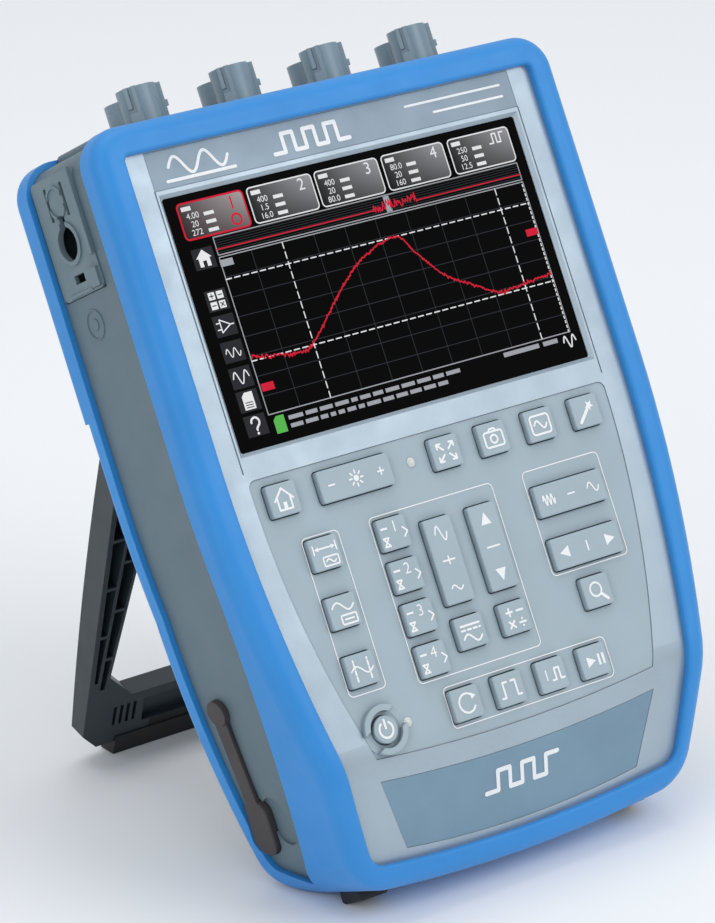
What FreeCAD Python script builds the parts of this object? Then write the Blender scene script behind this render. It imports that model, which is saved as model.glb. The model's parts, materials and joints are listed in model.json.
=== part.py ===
import FreeCAD, Part
import math
import os

# Portable four-channel oscilloscope on its kickstand, as separate pieces.
#
# Everything is modelled in the case frame and only placed at the end.
# Case frame, millimetres: X to the right, Y into the case from the front panel,
# Z up the front panel, origin at the centre of the screen.

V = FreeCAD.Vector

# ---- Driving dimensions ------------------------------------------------------
HALF_WIDTH = 105.0        # front bumper, outside
TOP = 77.3                # top edge above the screen centre
BOTTOM = -218.3           # lowest point of the outline
TAPER_START = -50.0       # below this the sides curve inwards
SIDE_R = 483.0            # radius of that curve
OPENING_R = 572.0         # radius of the front bumper's opening, which is straighter
BASE_R = 600.0            # radius of the bowed bottom edge
TOP_CORNER_R = 14.0
BOTTOM_CORNER_R = 20.0
BASE_DRAFT = 0.10         # bottom leans up, mm per mm of depth

FACE_BEND_Z = -160.0      # below this the front face turns back
FACE_BEND_R = 30.0
FACE_SLOPE = 24.0         # degrees
BACK_Y = 55.3             # flat upper part of the back
BACK_KINK_Z = -95.0       # below this the back slopes out
BACK_SLOPE = 7.4          # degrees
HEEL_SLOPE = 31.0         # degrees, underside behind the feet
HEEL_Y, HEEL_Z = 46.1, -209.2
BACK_BOTTOM_R = 12.0

LIP = 3.5                 # front bumper stands this proud of the panel
BUMPER_SIDE = 2.5         # rubber thickness on the sides
BUMPER_FACE = 11.8        # width of the rubber seen from the front
BUMPER_FACE_BASE = 9.5
BUMPER_DEPTH = 9.5
FRONT_ROUND, LIP_ROUND = 6.8, 1.4
REAR_BUMPER_EDGE = -4.6   # front edge of the rear bumper, from the back surface
REAR_BUMPER_FACE = 12.0
REAR_PROUD_TOP = 6.1
REAR_PROUD_LOW = 3.7      # the rear bumper is thinner beside the folded stand
STEP_Z = -19.0
WALL = 2.5                # moulded wall
GAP = 0.1                 # parting gap between neighbouring pieces

SCREEN_W, SCREEN_H = 162.0, 95.6
GLASS_W, GLASS_H, GLASS_T = 168.0, 102.0, 1.5
GLASS_RECESS = 1.8
LCD_W, LCD_H, LCD_T = 165.0, 100.0, 5.0

KEY_W, KEY_H = 12.8, 12.0
ROCKER_L = 32.4
KEY_PROUD = 2.2
KEY_CLEARANCE = 0.4
KEY_TRAVEL = 0.8
POWER_R = 5.2

SOCKET_PITCH = 41.6
SOCKET_Y = 25.0
SOCKET_R = 7.5
SOCKET_H = 14.5
SOCKET_BORE_R = 5.6
SOCKET_BORE_DEPTH = 9.0
SOCKET_TAIL = 10.5        # the second barrel stands this far behind the first
SOCKET_TAIL_DROP = 2.7    # and is this much lower
PLATFORM_Z = 78.4         # top face that the sockets stand on

LEAN = 29.7               # degrees the case leans back on its stand
STAND_OPEN = 44.4         # degrees from the back to the open stand's front
STAND_SHUT = 4.0          # the same when it is folded
PIVOT_Z = 3.8             # hinge of the stand
PIVOT_DEPTH = 6.4         # below the flat of the back
LEG_OUT_TOP, LEG_OUT_LOW = 85.0, 81.5
LEG_IN_TOP, LEG_IN_LOW = 57.0, 73.5
LEG_T = 10.8
STAND_BAR_TOP, STAND_BAR_LOW = 165.0, 184.0
STAND_LENGTH = 186.5
SOLE_HALF, SOLE_REACH = 65.8, 196.0
PIN_R = 2.5


# ---- Small helpers -----------------------------------------------------------
def box(x0, x1, y0, y1, z0, z1):
    return Part.makeBox(x1 - x0, y1 - y0, z1 - z0, V(x0, y0, z0))


def cylinder(radius, length, base, axis):
    return Part.makeCylinder(radius, length, base, axis)


def line(p, q):
    return Part.makeLine(p, q)


def arc(p, mid, q):
    return Part.Arc(p, mid, q).toShape()


def face_of(edges):
    return Part.Face(Part.Wire(edges))


def polygon_xz(points, y0, y1):
    """Prism between depths y0 and y1 over an X-Z polygon."""
    corners = [V(x, y0, z) for x, z in points]
    wire = Part.makePolygon(corners + corners[:1])
    return Part.Face(wire).extrude(V(0, y1 - y0, 0))


def polygon_yz(points, x0, x1):
    corners = [V(x0, y, z) for y, z in points]
    wire = Part.makePolygon(corners + corners[:1])
    return Part.Face(wire).extrude(V(x1 - x0, 0, 0))


def mirrored(shape):
    return shape.mirror(V(0, 0, 0), V(1, 0, 0))


def both_sides(shape):
    return [shape, mirrored(shape)]


def fillet(shape, radius, wanted):
    """Round the edges that wanted(edge) picks, at the largest radius that builds."""
    edges = [edge for edge in shape.Edges if wanted(edge)]
    for share in (1.0, 0.75, 0.5, 0.3):
        try:
            rounded = shape.makeFillet(radius * share, edges)
        except Part.OCCError:
            continue
        if rounded.isValid() and rounded.Volume > 0.5 * shape.Volume:
            return rounded
    print("not rounded at", radius, len(edges), "edges")
    return shape


def parallel_to(axis):
    """Test for straight edges along an axis."""
    def test(edge):
        if not isinstance(edge.Curve, Part.Line):
            return False
        return abs(abs(edge.Curve.Direction.dot(axis)) - 1) < 1e-6
    return test


def one_solid(shape):
    """The largest solid of a boolean result, with its seams merged."""
    solids = sorted(shape.Solids, key=lambda solid: solid.Volume)
    return solids[-1].removeSplitter()


def fuse(shapes):
    return shapes[0].multiFuse(shapes[1:]) if len(shapes) > 1 else shapes[0]


def rounded_block(x, z, width, height, y0, y1, corner):
    """Upright block centred at x, z with rounded corners seen from the front."""
    block = box(x - width / 2, x + width / 2, y0, y1, z - height / 2, z + height / 2)
    return block.makeFillet(corner, [e for e in block.Edges if parallel_to(V(0, 1, 0))(e)])


# ---- Case surfaces -----------------------------------------------------------
def lower_meeting(c1, r1, c2, r2):
    """Lower right crossing of two circles in an X-Z plane."""
    reach = c2 - c1
    d = reach.Length
    along = (r1 * r1 - r2 * r2 + d * d) / (2 * d)
    off = math.sqrt(r1 * r1 - along * along)
    unit = reach / d
    side = V(unit.z, 0, -unit.x)
    foot = c1 + unit * along
    return max((foot + side * off, foot - side * off), key=lambda p: p.x - p.z)


def outline(inset, base_inset, y, side_radius=SIDE_R):
    """Front outline of the case pulled in by an inset, as a wire at depth y."""
    half, top, low = HALF_WIDTH - inset, TOP - inset, BOTTOM + base_inset
    top_r = TOP_CORNER_R - inset if inset < TOP_CORNER_R - 2 else 2.0
    low_r = BOTTOM_CORNER_R - inset if inset < BOTTOM_CORNER_R - 3 else 3.0
    side_r, base_r = side_radius - inset, BASE_R - base_inset
    side_c, base_c = V(half - side_r, y, TAPER_START), V(0, y, low + base_r)
    corner = lower_meeting(side_c, side_r - low_r, base_c, base_r - low_r)

    def on_arc(centre, radius, towards):
        return centre + (towards - centre).normalize() * radius

    on_side = on_arc(side_c, side_r, corner)
    on_base = on_arc(base_c, base_r, corner)
    start = V(half, y, TAPER_START)
    top_c = V(half - top_r, y, top - top_r)
    right = [
        arc(V(half - top_r, y, top), top_c + V(1, 0, 1).normalize() * top_r,
            V(half, y, top - top_r)),
        line(V(half, y, top - top_r), start),
        arc(start, on_arc(side_c, side_r, (start + on_side) * 0.5), on_side),
        arc(on_side, on_arc(corner, low_r, (on_side + on_base) * 0.5), on_base),
    ]
    left = [mirrored(edge) for edge in reversed(right)]
    base = arc(on_base, V(0, y, low), V(-on_base.x, y, on_base.z))
    roof = line(V(top_r - half, y, top), V(half - top_r, y, top))
    return Part.Wire([roof] + right + [base] + left)


def case_block(inset, base_inset=None, side_radius=SIDE_R):
    """Block of the case's outline, from in front of the panel to behind the back."""
    base = inset if base_inset is None else base_inset
    wires = [outline(inset, base + BASE_DRAFT * y, y, side_radius) for y in (-10.0, 90.0)]
    return Part.makeLoft(wires, True, True)


def behind_face(offset):
    """Everything behind the front surface moved back by an offset."""
    slope = math.radians(FACE_SLOPE)
    r = FACE_BEND_R - offset

    def on_bend(angle):
        return V(-130, FACE_BEND_R - r * math.cos(angle), FACE_BEND_Z - r * math.sin(angle))

    start, end = on_bend(0), on_bend(slope)
    run = (240 + end.z) / math.cos(slope)
    low = end + V(0, math.sin(slope), -math.cos(slope)) * run
    top = V(-130, offset, 110)
    edges = [
        line(top, start), arc(start, on_bend(slope / 2), end), line(end, low),
        line(low, V(-130, 120, -240)), line(V(-130, 120, -240), V(-130, 120, 110)),
        line(V(-130, 120, 110), top),
    ]
    return face_of(edges).extrude(V(260, 0, 0))


def behind_seam(offset):
    """Everything behind the front bumper's rear edge moved back by an offset."""
    y = BUMPER_DEPTH + offset
    top, start = V(-130, y, 110), V(-130, y, -85)
    mid, end = V(-130, y + 9.5, -147), V(-130, y + 30.2, -194)
    low = V(-130, y + 60.5, -240)
    edges = [
        line(top, start), arc(start, mid, end), line(end, low),
        line(low, V(-130, 120, -240)), line(V(-130, 120, -240), V(-130, 120, 110)),
        line(V(-130, 120, 110), top),
    ]
    return face_of(edges).extrude(V(260, 0, 0))


def before_back(offset):
    """Everything in front of the back surface moved by an offset, heel corner round."""
    slope, heel = math.radians(BACK_SLOPE), math.radians(HEEL_SLOPE)
    y, kink = BACK_Y + offset, BACK_KINK_Z + offset * math.tan(slope / 2)
    heel_y, heel_z = HEEL_Y + offset * math.sin(heel), HEEL_Z - offset * math.cos(heel)
    run, rise = math.tan(slope), math.tan(heel)
    corner_y = (y + (kink - heel_z + rise * heel_y) * run) / (1 + rise * run)
    corner_z = heel_z + rise * (corner_y - heel_y)
    prism = polygon_yz([(-30, 110), (y, 110), (y, kink), (corner_y, corner_z),
                        (heel_y + (-240 - heel_z) / rise, -240), (-30, -240)], -130, 130)

    def at_corner(edge):
        centre = edge.CenterOfMass
        return abs(centre.y - corner_y) < 0.01 and abs(centre.z - corner_z) < 0.01

    return prism.makeFillet(BACK_BOTTOM_R + offset, [e for e in prism.Edges if at_corner(e)])


def on_back(shape):
    """Move a shape drawn with the flat of the back at y = 0 onto the back."""
    moved = shape.copy()
    moved.translate(V(0, BACK_Y, 0))
    return moved


def side_x(inset, z):
    """Half-width of the case block at a height."""
    radius = SIDE_R - inset
    drop = max(TAPER_START - z, 0)
    return HALF_WIDTH - inset - radius + math.sqrt(radius ** 2 - drop ** 2)


def on_side(shape, inset, y, z, left=True):
    """Move a shape drawn with X pointing out of the wall onto a side of the case."""
    lean = math.degrees(math.asin(max(TAPER_START - z, 0) / (SIDE_R - inset)))
    moved = shape.copy()
    moved.rotate(V(0, 0, 0), V(0, 1, 0), lean)
    moved.translate(V(side_x(inset, z), y, z))
    return mirrored(moved) if left else moved


# ---- Front panel layout (x, z on the panel) ----------------------------------
FIELD_TOP, FIELD_SIDE_TOP = -58.1, -62.0
FIELD_HALF, FIELD_HALF_LOW = 82.7, 65.1
FIELD_LOW, FIELD_LOW_MID = -166.3, -169.6
HEADER_HALF, HEADER_LOW, HEADER_TOP = 83.4, 50.9, 65.2
NAME_TOP, NAME_TOP_MID, NAME_LOW, NAME_LOW_MID = -174.5, -178.0, -200.5, -204.0
NAME_HALF_TOP, NAME_HALF_LOW = 64.5, 54.5
TOP_ROW_Z, TOP_ROW_PITCH = -67.4, 22.3
LOW_ROW_Z = -132.9
TRIGGER_Z, TRIGGER_PITCH = -157.2, 20.1
POWER_X, POWER_Z = -58.8, -157.0
LEDS = [(-12.4, TOP_ROW_Z), (-47.9, POWER_Z)]
LED_R = 1.9


def key_layout():
    """Name of each key, with its centre x, z and its width and height."""
    keys = {"key_home": (-71.6, TOP_ROW_Z, KEY_W, KEY_H),
            "key_brightness": (-39.2, TOP_ROW_Z, ROCKER_L, KEY_H)}
    for i, name in enumerate(("full_screen", "snapshot", "display", "auto_set")):
        keys["key_" + name] = (2.4 + TOP_ROW_PITCH * i, TOP_ROW_Z, KEY_W, KEY_H)
    for i, name in enumerate(("measure", "reference", "cursors")):
        keys["key_" + name] = (-61.4, -90.2 - 21.85 * i, KEY_W, KEY_H)
    for i in range(4):
        keys["key_channel_%d" % (i + 1)] = (-30.5, -90.4 - 15.95 * i, KEY_W, KEY_H)
    keys["key_amplitude"] = (-11.0, -105.6, KEY_W, ROCKER_L)
    keys["key_level"] = (9.8, -105.6, KEY_W, ROCKER_L)
    keys["key_coupling"] = (-11.0, LOW_ROW_Z, KEY_W, KEY_H)
    keys["key_maths"] = (9.8, LOW_ROW_Z, KEY_W, KEY_H)
    keys["key_timebase"] = (50.9, -95.2, ROCKER_L, KEY_H)
    keys["key_time_shift"] = (50.9, -115.6, ROCKER_L, KEY_H)
    keys["key_zoom"] = (49.1, LOW_ROW_Z, KEY_W, KEY_H)
    for i, name in enumerate(("trigger_auto", "slope", "single", "run")):
        keys["key_" + name] = (-22.3 + TRIGGER_PITCH * i, TRIGGER_Z, KEY_W, KEY_H)
    return keys


# Depths of the keypad stack behind the panel surface
MAT_FRONT, MAT_BACK, MAT_FLANGE_BACK = 0.3, 2.5, 3.7
KEY_FLANGE_FRONT, KEY_FLANGE_BACK = 4.5, 5.1
DOME_FRONT, BOARD_FRONT, BOARD_BACK = 6.0, 7.0, 8.6
ROCKER_AXIS_Y = 3.0
BRACKET_FRONT, BRACKET_T = 8.4, 1.0
MAIN_BOARD_FRONT, MAIN_BOARD_T = 20.0, 1.6
BOARD_POSTS = [(88.0, -72.0), (79.0, -150.0)]
BRACKET_POSTS = [(91.0, 44.0), (91.0, -44.0)]
MAIN_POSTS = [(41.6, 50.0), (41.6, -38.0)]
CASE_SCREWS = [(90.5, 62.0, 28.0), (94.5, -60.0, 28.0), (62.0, -200.0, 46.5)]
SCREW_R, SCREW_LENGTH, SCREW_HEAD_R, SCREW_HEAD_H = 1.5, 24.0, 2.9, 2.2
SMALL_SCREW_R, SMALL_HEAD_R, SMALL_HEAD_H = 1.25, 2.3, 1.6
BAY_HALF, BAY_LOW, BAY_TOP, BAY_DEPTH = 50.0, -90.0, -14.0, 23.0
COVER_EDGE, COVER_T = 4.0, 2.4


def keypad_field(grow, y0, y1):
    """Prism over the keypad's outline, grown sideways by a margin."""
    half, low = FIELD_HALF + grow, FIELD_HALF_LOW + grow
    top, start = FIELD_TOP + grow, V(half, y0, FIELD_SIDE_TOP)
    corner = V(low, y0, FIELD_LOW - grow)
    drop = FIELD_HALF - FIELD_HALF_LOW
    side_mid = V(half - drop * 0.25, y0, (FIELD_SIDE_TOP + FIELD_LOW) / 2)
    bend = 3.0
    top_c = V(half - bend, y0, top - bend)
    right = [
        arc(V(half - bend, y0, top), top_c + V(1, 0, 1).normalize() * bend,
            V(half, y0, top - bend)),
        line(V(half, y0, top - bend), start),
        arc(start, side_mid, corner),
    ]
    base = arc(corner, V(0, y0, FIELD_LOW_MID - grow), V(-low, y0, corner.z))
    roof = line(V(bend - half, y0, top), V(half - bend, y0, top))
    left = [mirrored(edge) for edge in reversed(right)]
    return face_of([roof] + right + [base] + left).extrude(V(0, y1 - y0, 0))


def name_field(grow, y0, y1):
    """Prism over the lower name plate's outline."""
    top, low = NAME_HALF_TOP + grow, NAME_HALF_LOW + grow
    top_z, low_z = NAME_TOP + grow, NAME_LOW - grow
    edges = [
        arc(V(-top, y0, top_z), V(0, y0, NAME_TOP_MID + grow), V(top, y0, top_z)),
        line(V(top, y0, top_z), V(low, y0, low_z)),
        arc(V(low, y0, low_z), V(0, y0, NAME_LOW_MID - grow), V(-low, y0, low_z)),
        line(V(-low, y0, low_z), V(-top, y0, top_z)),
    ]
    return face_of(edges).extrude(V(0, y1 - y0, 0))


def header_field(grow, y0, y1):
    return box(-HEADER_HALF - grow, HEADER_HALF + grow, y0, y1,
               HEADER_LOW - grow, HEADER_TOP + grow)


def screen_bevel():
    """Tapered cut around the screen window."""
    wires = []
    for y, grow in ((-0.5, 1.9), (1.4, 0.0)):
        x, z = SCREEN_W / 2 + grow, SCREEN_H / 2 + grow
        wires.append(Part.makePolygon([V(-x, y, -z), V(x, y, -z), V(x, y, z), V(-x, y, z),
                                       V(-x, y, -z)]))
    return Part.makeLoft(wires, True, True)


# ---- Front half --------------------------------------------------------------
def make_front_case():
    inside = case_block(BUMPER_SIDE + WALL).common(behind_face(WALL))
    shell = case_block(BUMPER_SIDE).common(behind_face(0)).common(before_back(-2))
    shell = shell.cut(behind_seam(-1.5)).cut(inside)
    posts = []
    for x, z, _ in CASE_SCREWS:
        posts += both_sides(cylinder(4.5, 70, V(x, -5, z), V(0, 1, 0)))
    posts = [post.common(behind_face(1.0)).cut(behind_seam(-1.5)) for post in posts]
    for x, z in BOARD_POSTS:
        posts += both_sides(cylinder(3.0, BOARD_FRONT - 1.5 - GAP, V(x, 1.5, z), V(0, 1, 0)))
    for x, z in BRACKET_POSTS:
        posts += both_sides(cylinder(3.0, BRACKET_FRONT - 1.5 - GAP, V(x, 1.5, z), V(0, 1, 0)))
    shell = shell.multiFuse(posts)
    cuts = [
        rounded_block(0, 0, SCREEN_W, SCREEN_H, -5, 6, 1.0),
        screen_bevel(),
        box(-GLASS_W / 2 - GAP, GLASS_W / 2 + GAP, GLASS_RECESS, 6,
            -GLASS_H / 2 - GAP, GLASS_H / 2 + GAP),
        header_field(GAP, -2, 0.7),
        keypad_field(GAP, -5, 12),
        name_field(GAP, -5, 40).cut(behind_face(1.0)),
    ]
    for x, z, head in CASE_SCREWS:
        cuts += both_sides(cylinder(SCREW_R + 0.05, 60, V(x, head - SCREW_LENGTH - 0.3, z),
                                    V(0, 1, 0)))
    for x, z in BOARD_POSTS + BRACKET_POSTS:
        cuts += both_sides(cylinder(SMALL_SCREW_R + 0.05, 10, V(x, 2.5, z), V(0, 1, 0)))
    cuts += both_sides(box(83.3, 83.8, -1, 0.45, FIELD_TOP + 3, HEADER_LOW))
    return one_solid(shell.cut(Part.makeCompound(cuts)))


def bumper_opening(grow):
    """Block of the front bumper's opening, grown by a margin."""
    return case_block(BUMPER_FACE - grow, BUMPER_FACE_BASE - grow, OPENING_R)


def make_front_bumper():
    outer = case_block(0).common(behind_face(-LIP)).common(before_back(REAR_PROUD_LOW))
    outer = outer.cut(behind_seam(0))
    inner = case_block(BUMPER_SIDE - 0.02).common(behind_face(-0.02))
    inner = inner.common(before_back(-1.98))
    ring = one_solid(outer.cut(bumper_opening(0)).cut(inner))
    ahead, rim, lip = behind_face(-LIP + 0.4), case_block(1.0), bumper_opening(1.0)

    def on_face(edge):
        middle = edge.valueAt((edge.FirstParameter + edge.LastParameter) / 2)
        return middle, not ahead.isInside(middle, 0.001, True)

    def on_front(edge):
        middle, in_front = on_face(edge)
        return in_front and not rim.isInside(middle, 0.001, True)

    def on_lip(edge):
        middle, in_front = on_face(edge)
        return in_front and lip.isInside(middle, 0.001, True)

    ring = fillet(ring, FRONT_ROUND, on_front)
    return fillet(ring, LIP_ROUND, on_lip)


def make_touch_glass():
    return box(-GLASS_W / 2, GLASS_W / 2, GLASS_RECESS + 0.05, GLASS_RECESS + GLASS_T,
               -GLASS_H / 2, GLASS_H / 2)


def make_lcd_panel():
    front = GLASS_RECESS + GLASS_T + 0.05
    panel = box(-LCD_W / 2, LCD_W / 2, front, front + LCD_T - 0.1, -LCD_H / 2, LCD_H / 2)
    driver = box(20, 60, front + 1, front + 3.5, -LCD_H / 2 - 1.5, -LCD_H / 2)
    return one_solid(panel.fuse(driver))


def make_display_bracket():
    """Pressed sheet behind the display, with a flange round its edge."""
    back = BRACKET_FRONT + BRACKET_T
    sheet = rounded_block(0, 0, 190, 104, BRACKET_FRONT, back, 3)
    cuts = []
    for column in range(4):
        for row in range(2):
            cuts.append(rounded_block(-57 + 38 * column, -21 + 42 * row, 26, 26, 0, 20, 3))
    for x, z in BRACKET_POSTS:
        cuts += both_sides(cylinder(SMALL_SCREW_R + 0.2, 20, V(x, 0, z), V(0, 1, 0)))
    ribs = [box(-80, 80, back - 0.2, back + 3, z, z + 1) for z in (-44, 43)]
    return one_solid(fuse([sheet] + ribs).cut(Part.makeCompound(cuts)))


def make_header_plate():
    return header_field(0, 0.05, 0.68)


def make_name_plate():
    plate = name_field(0, -5, 40).common(behind_face(0.15)).cut(behind_face(0.95))
    return one_solid(plate)


def make_keypad_mat():
    """Rubber field round the keys, with the power key's guard ring on it."""
    field = keypad_field(0, -5, 12).common(behind_face(MAT_FRONT)).cut(behind_face(MAT_BACK))
    flange = keypad_field(1.6, -5, 12).common(behind_face(MAT_BACK + 0.05))
    flange = flange.cut(behind_face(MAT_FLANGE_BACK))
    ring = cylinder(9.3, 2.6, V(POWER_X, -1.9, POWER_Z), V(0, 1, 0))
    ring = ring.cut(cylinder(6.9, 8, V(POWER_X, -4, POWER_Z), V(0, 1, 0)))
    notches = box(-4, 4, -5, 0.2, -12, 12)
    notches.rotate(V(0, 0, 0), V(0, 1, 0), 62)
    notches.translate(V(POWER_X, 0, POWER_Z))
    ring = ring.cut(notches).cut(behind_face(-0.05).cut(keypad_field(0, -5, 12)))
    core = keypad_field(-0.5, -5, 12).common(behind_face(MAT_BACK - 0.3))
    core = core.cut(behind_face(MAT_BACK + 0.3))
    mat = fuse([field, flange, core, ring])
    holes = [rounded_block(x, z, w + 2 * KEY_CLEARANCE, h + 2 * KEY_CLEARANCE, -6, 14, 1.4)
             for x, z, w, h in key_layout().values()]
    holes.append(cylinder(POWER_R + 0.3, 20, V(POWER_X, -6, POWER_Z), V(0, 1, 0)))
    holes += [cylinder(LED_R + 0.05, 20, V(x, -6, z), V(0, 1, 0)) for x, z in LEDS]
    return one_solid(mat.cut(Part.makeCompound(holes)))


def make_key(x, z, width, height):
    cap = rounded_block(x, z, width, height, -KEY_PROUD, KEY_FLANGE_BACK - 0.1, 1.1)
    cap = fillet(cap, 0.5, lambda edge: abs(edge.CenterOfMass.y + KEY_PROUD) < 0.01)
    flange = rounded_block(x, z, width + 2.2, height + 2.2, KEY_FLANGE_FRONT,
                           KEY_FLANGE_BACK, 1.4)
    return one_solid(cap.fuse(flange))


def make_power_key():
    cap = cylinder(POWER_R, KEY_PROUD - 0.8 + KEY_FLANGE_BACK, V(POWER_X, 0.8 - KEY_PROUD, POWER_Z),
                   V(0, 1, 0))
    cap = fillet(cap, 0.5, lambda edge: abs(edge.CenterOfMass.y - 0.8 + KEY_PROUD) < 0.01)
    flange = cylinder(POWER_R + 1.2, 0.6, V(POWER_X, KEY_FLANGE_FRONT, POWER_Z), V(0, 1, 0))
    return one_solid(cap.fuse(flange))


def make_led_lenses():
    lenses = []
    for x, z in LEDS:
        stem = cylinder(LED_R, 5.4, V(x, 0.2, z), V(0, 1, 0))
        dome = Part.makeSphere(2.6, V(x, 2.0, z)).common(cylinder(LED_R, 4, V(x, -2, z),
                                                                  V(0, 1, 0)))
        lenses.append(one_solid(stem.fuse(dome)))
    return Part.makeCompound(lenses)


def make_keypad_board():
    outline_points = [(88, -62.5), (93, -68), (93, -80), (84, -157), (70, -167),
                      (-70, -167), (-84, -157), (-93, -80), (-93, -68), (-88, -62.5)]
    board = polygon_xz(outline_points, BOARD_FRONT, BOARD_BACK)
    domes = []
    for x, z, width, height in key_layout().values():
        reach_x, reach_z = (width - KEY_W) / 2, (height - KEY_H) / 2
        spots = [(x, z)] if reach_x + reach_z == 0 else [
            (x - reach_x, z - reach_z), (x + reach_x, z + reach_z)]
        domes += [cylinder(3.0, 1.1, V(a, DOME_FRONT, b), V(0, 1, 0)) for a, b in spots]
    domes.append(cylinder(3.0, 1.1, V(POWER_X, DOME_FRONT, POWER_Z), V(0, 1, 0)))
    plug = box(-12, 12, BOARD_BACK - 0.1, BOARD_BACK + 3, -80, -75)
    holes = []
    for x, z in BOARD_POSTS:
        holes += both_sides(cylinder(SMALL_SCREW_R + 0.2, 8, V(x, 4, z), V(0, 1, 0)))
    return one_solid(fuse([board, plug] + domes).cut(Part.makeCompound(holes)))


def make_board_screws():
    """Small screws of the display bracket, keypad board and main board."""
    screws = []
    seats = [(x, z, BRACKET_FRONT + BRACKET_T, -1) for x, z in BRACKET_POSTS]
    seats += [(x, z, BOARD_BACK, -1) for x, z in BOARD_POSTS]
    seats += [(x, z, MAIN_BOARD_FRONT, 1) for x, z in MAIN_POSTS]
    for x, z, seat, way in seats:
        start = seat - way * (SMALL_HEAD_H + 0.05)
        head = cylinder(SMALL_HEAD_R, SMALL_HEAD_H, V(x, start, z), V(0, way, 0))
        shank = cylinder(SMALL_SCREW_R, SMALL_HEAD_H + 5.0, V(x, start, z), V(0, way, 0))
        slot = box(x - 3, x + 3, start - 0.7, start + 0.7, z - 0.35, z + 0.35)
        screws += both_sides(one_solid(head.fuse(shank).cut(slot)))
    return Part.makeCompound(screws)


# ---- Back half ---------------------------------------------------------------
def leg_half(height_below_pivot):
    """Inner and outer x of a stand leg, at a distance below the pivot."""
    out = LEG_OUT_TOP + (LEG_OUT_LOW - LEG_OUT_TOP) * height_below_pivot / STAND_LENGTH
    inner = LEG_IN_TOP + (LEG_IN_LOW - LEG_IN_TOP) * height_below_pivot / STAND_BAR_TOP
    return inner, out


def stand_outline(grow, y0, y1, head=8.0):
    """Prism over the folded stand's U outline, grown by a margin, in the back frame."""
    inner_top, out_top = leg_half(0)
    inner_low, out_low = leg_half(STAND_BAR_TOP)
    out_end = leg_half(STAND_LENGTH)[1]
    top, bar = PIVOT_Z + head + grow, PIVOT_Z - STAND_BAR_TOP + grow
    low, corner = PIVOT_Z - STAND_LENGTH - grow, 7.0
    gusset = 13.0
    right = [(inner_top - grow, top), (out_top + grow, top), (out_end + grow, low + corner),
             (out_end + grow - corner, low)]
    inside = [(inner_low - grow - gusset, bar), (inner_low - grow - 1, bar + gusset - 1)]
    points = right + [(-x, z) for x, z in reversed(right)]
    points += [(-x, z) for x, z in reversed(inside)] + inside
    return polygon_xz(points, y0, y1)


def pivot_cylinder(radius, x0, x1):
    """Cylinder on the stand's hinge axis, in the back frame."""
    return cylinder(radius, x1 - x0, V(x0, -PIVOT_DEPTH, PIVOT_Z), V(1, 0, 0))


def stand_space(grow):
    """Room of the folded stand and its sole, grown by a margin, open at the back."""
    depth = -PIVOT_DEPTH - LEG_T / 2 - grow
    low = PIVOT_Z - SOLE_REACH - grow
    sole = box(-SOLE_HALF - grow, SOLE_HALF + grow, depth - 0.6, 30, low, PIVOT_Z - 180)
    return folded(stand_outline(grow, depth, 30).fuse(sole))


def stand_sweep():
    """Room that the stand's head needs as it swings, up to its open stop."""
    room = pivot_cylinder(11.2, LEG_IN_TOP - 1.0, LEG_OUT_TOP + 1.0)
    open_angle = math.radians(STAND_OPEN)
    stop = box(50, 95, -40, -LEG_T / 2 - 0.12, -40, 40)
    stop.rotate(V(0, 0, 0), V(1, 0, 0), math.degrees(open_angle))
    stop.translate(V(0, -PIVOT_DEPTH, PIVOT_Z))
    return room.cut(stop)


def folded(shape):
    """Move a stand shape onto the back as it lies when folded."""
    turned = shape.copy()
    turned.rotate(V(0, -PIVOT_DEPTH, PIVOT_Z), V(1, 0, 0), STAND_SHUT)
    return on_back(turned)


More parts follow.
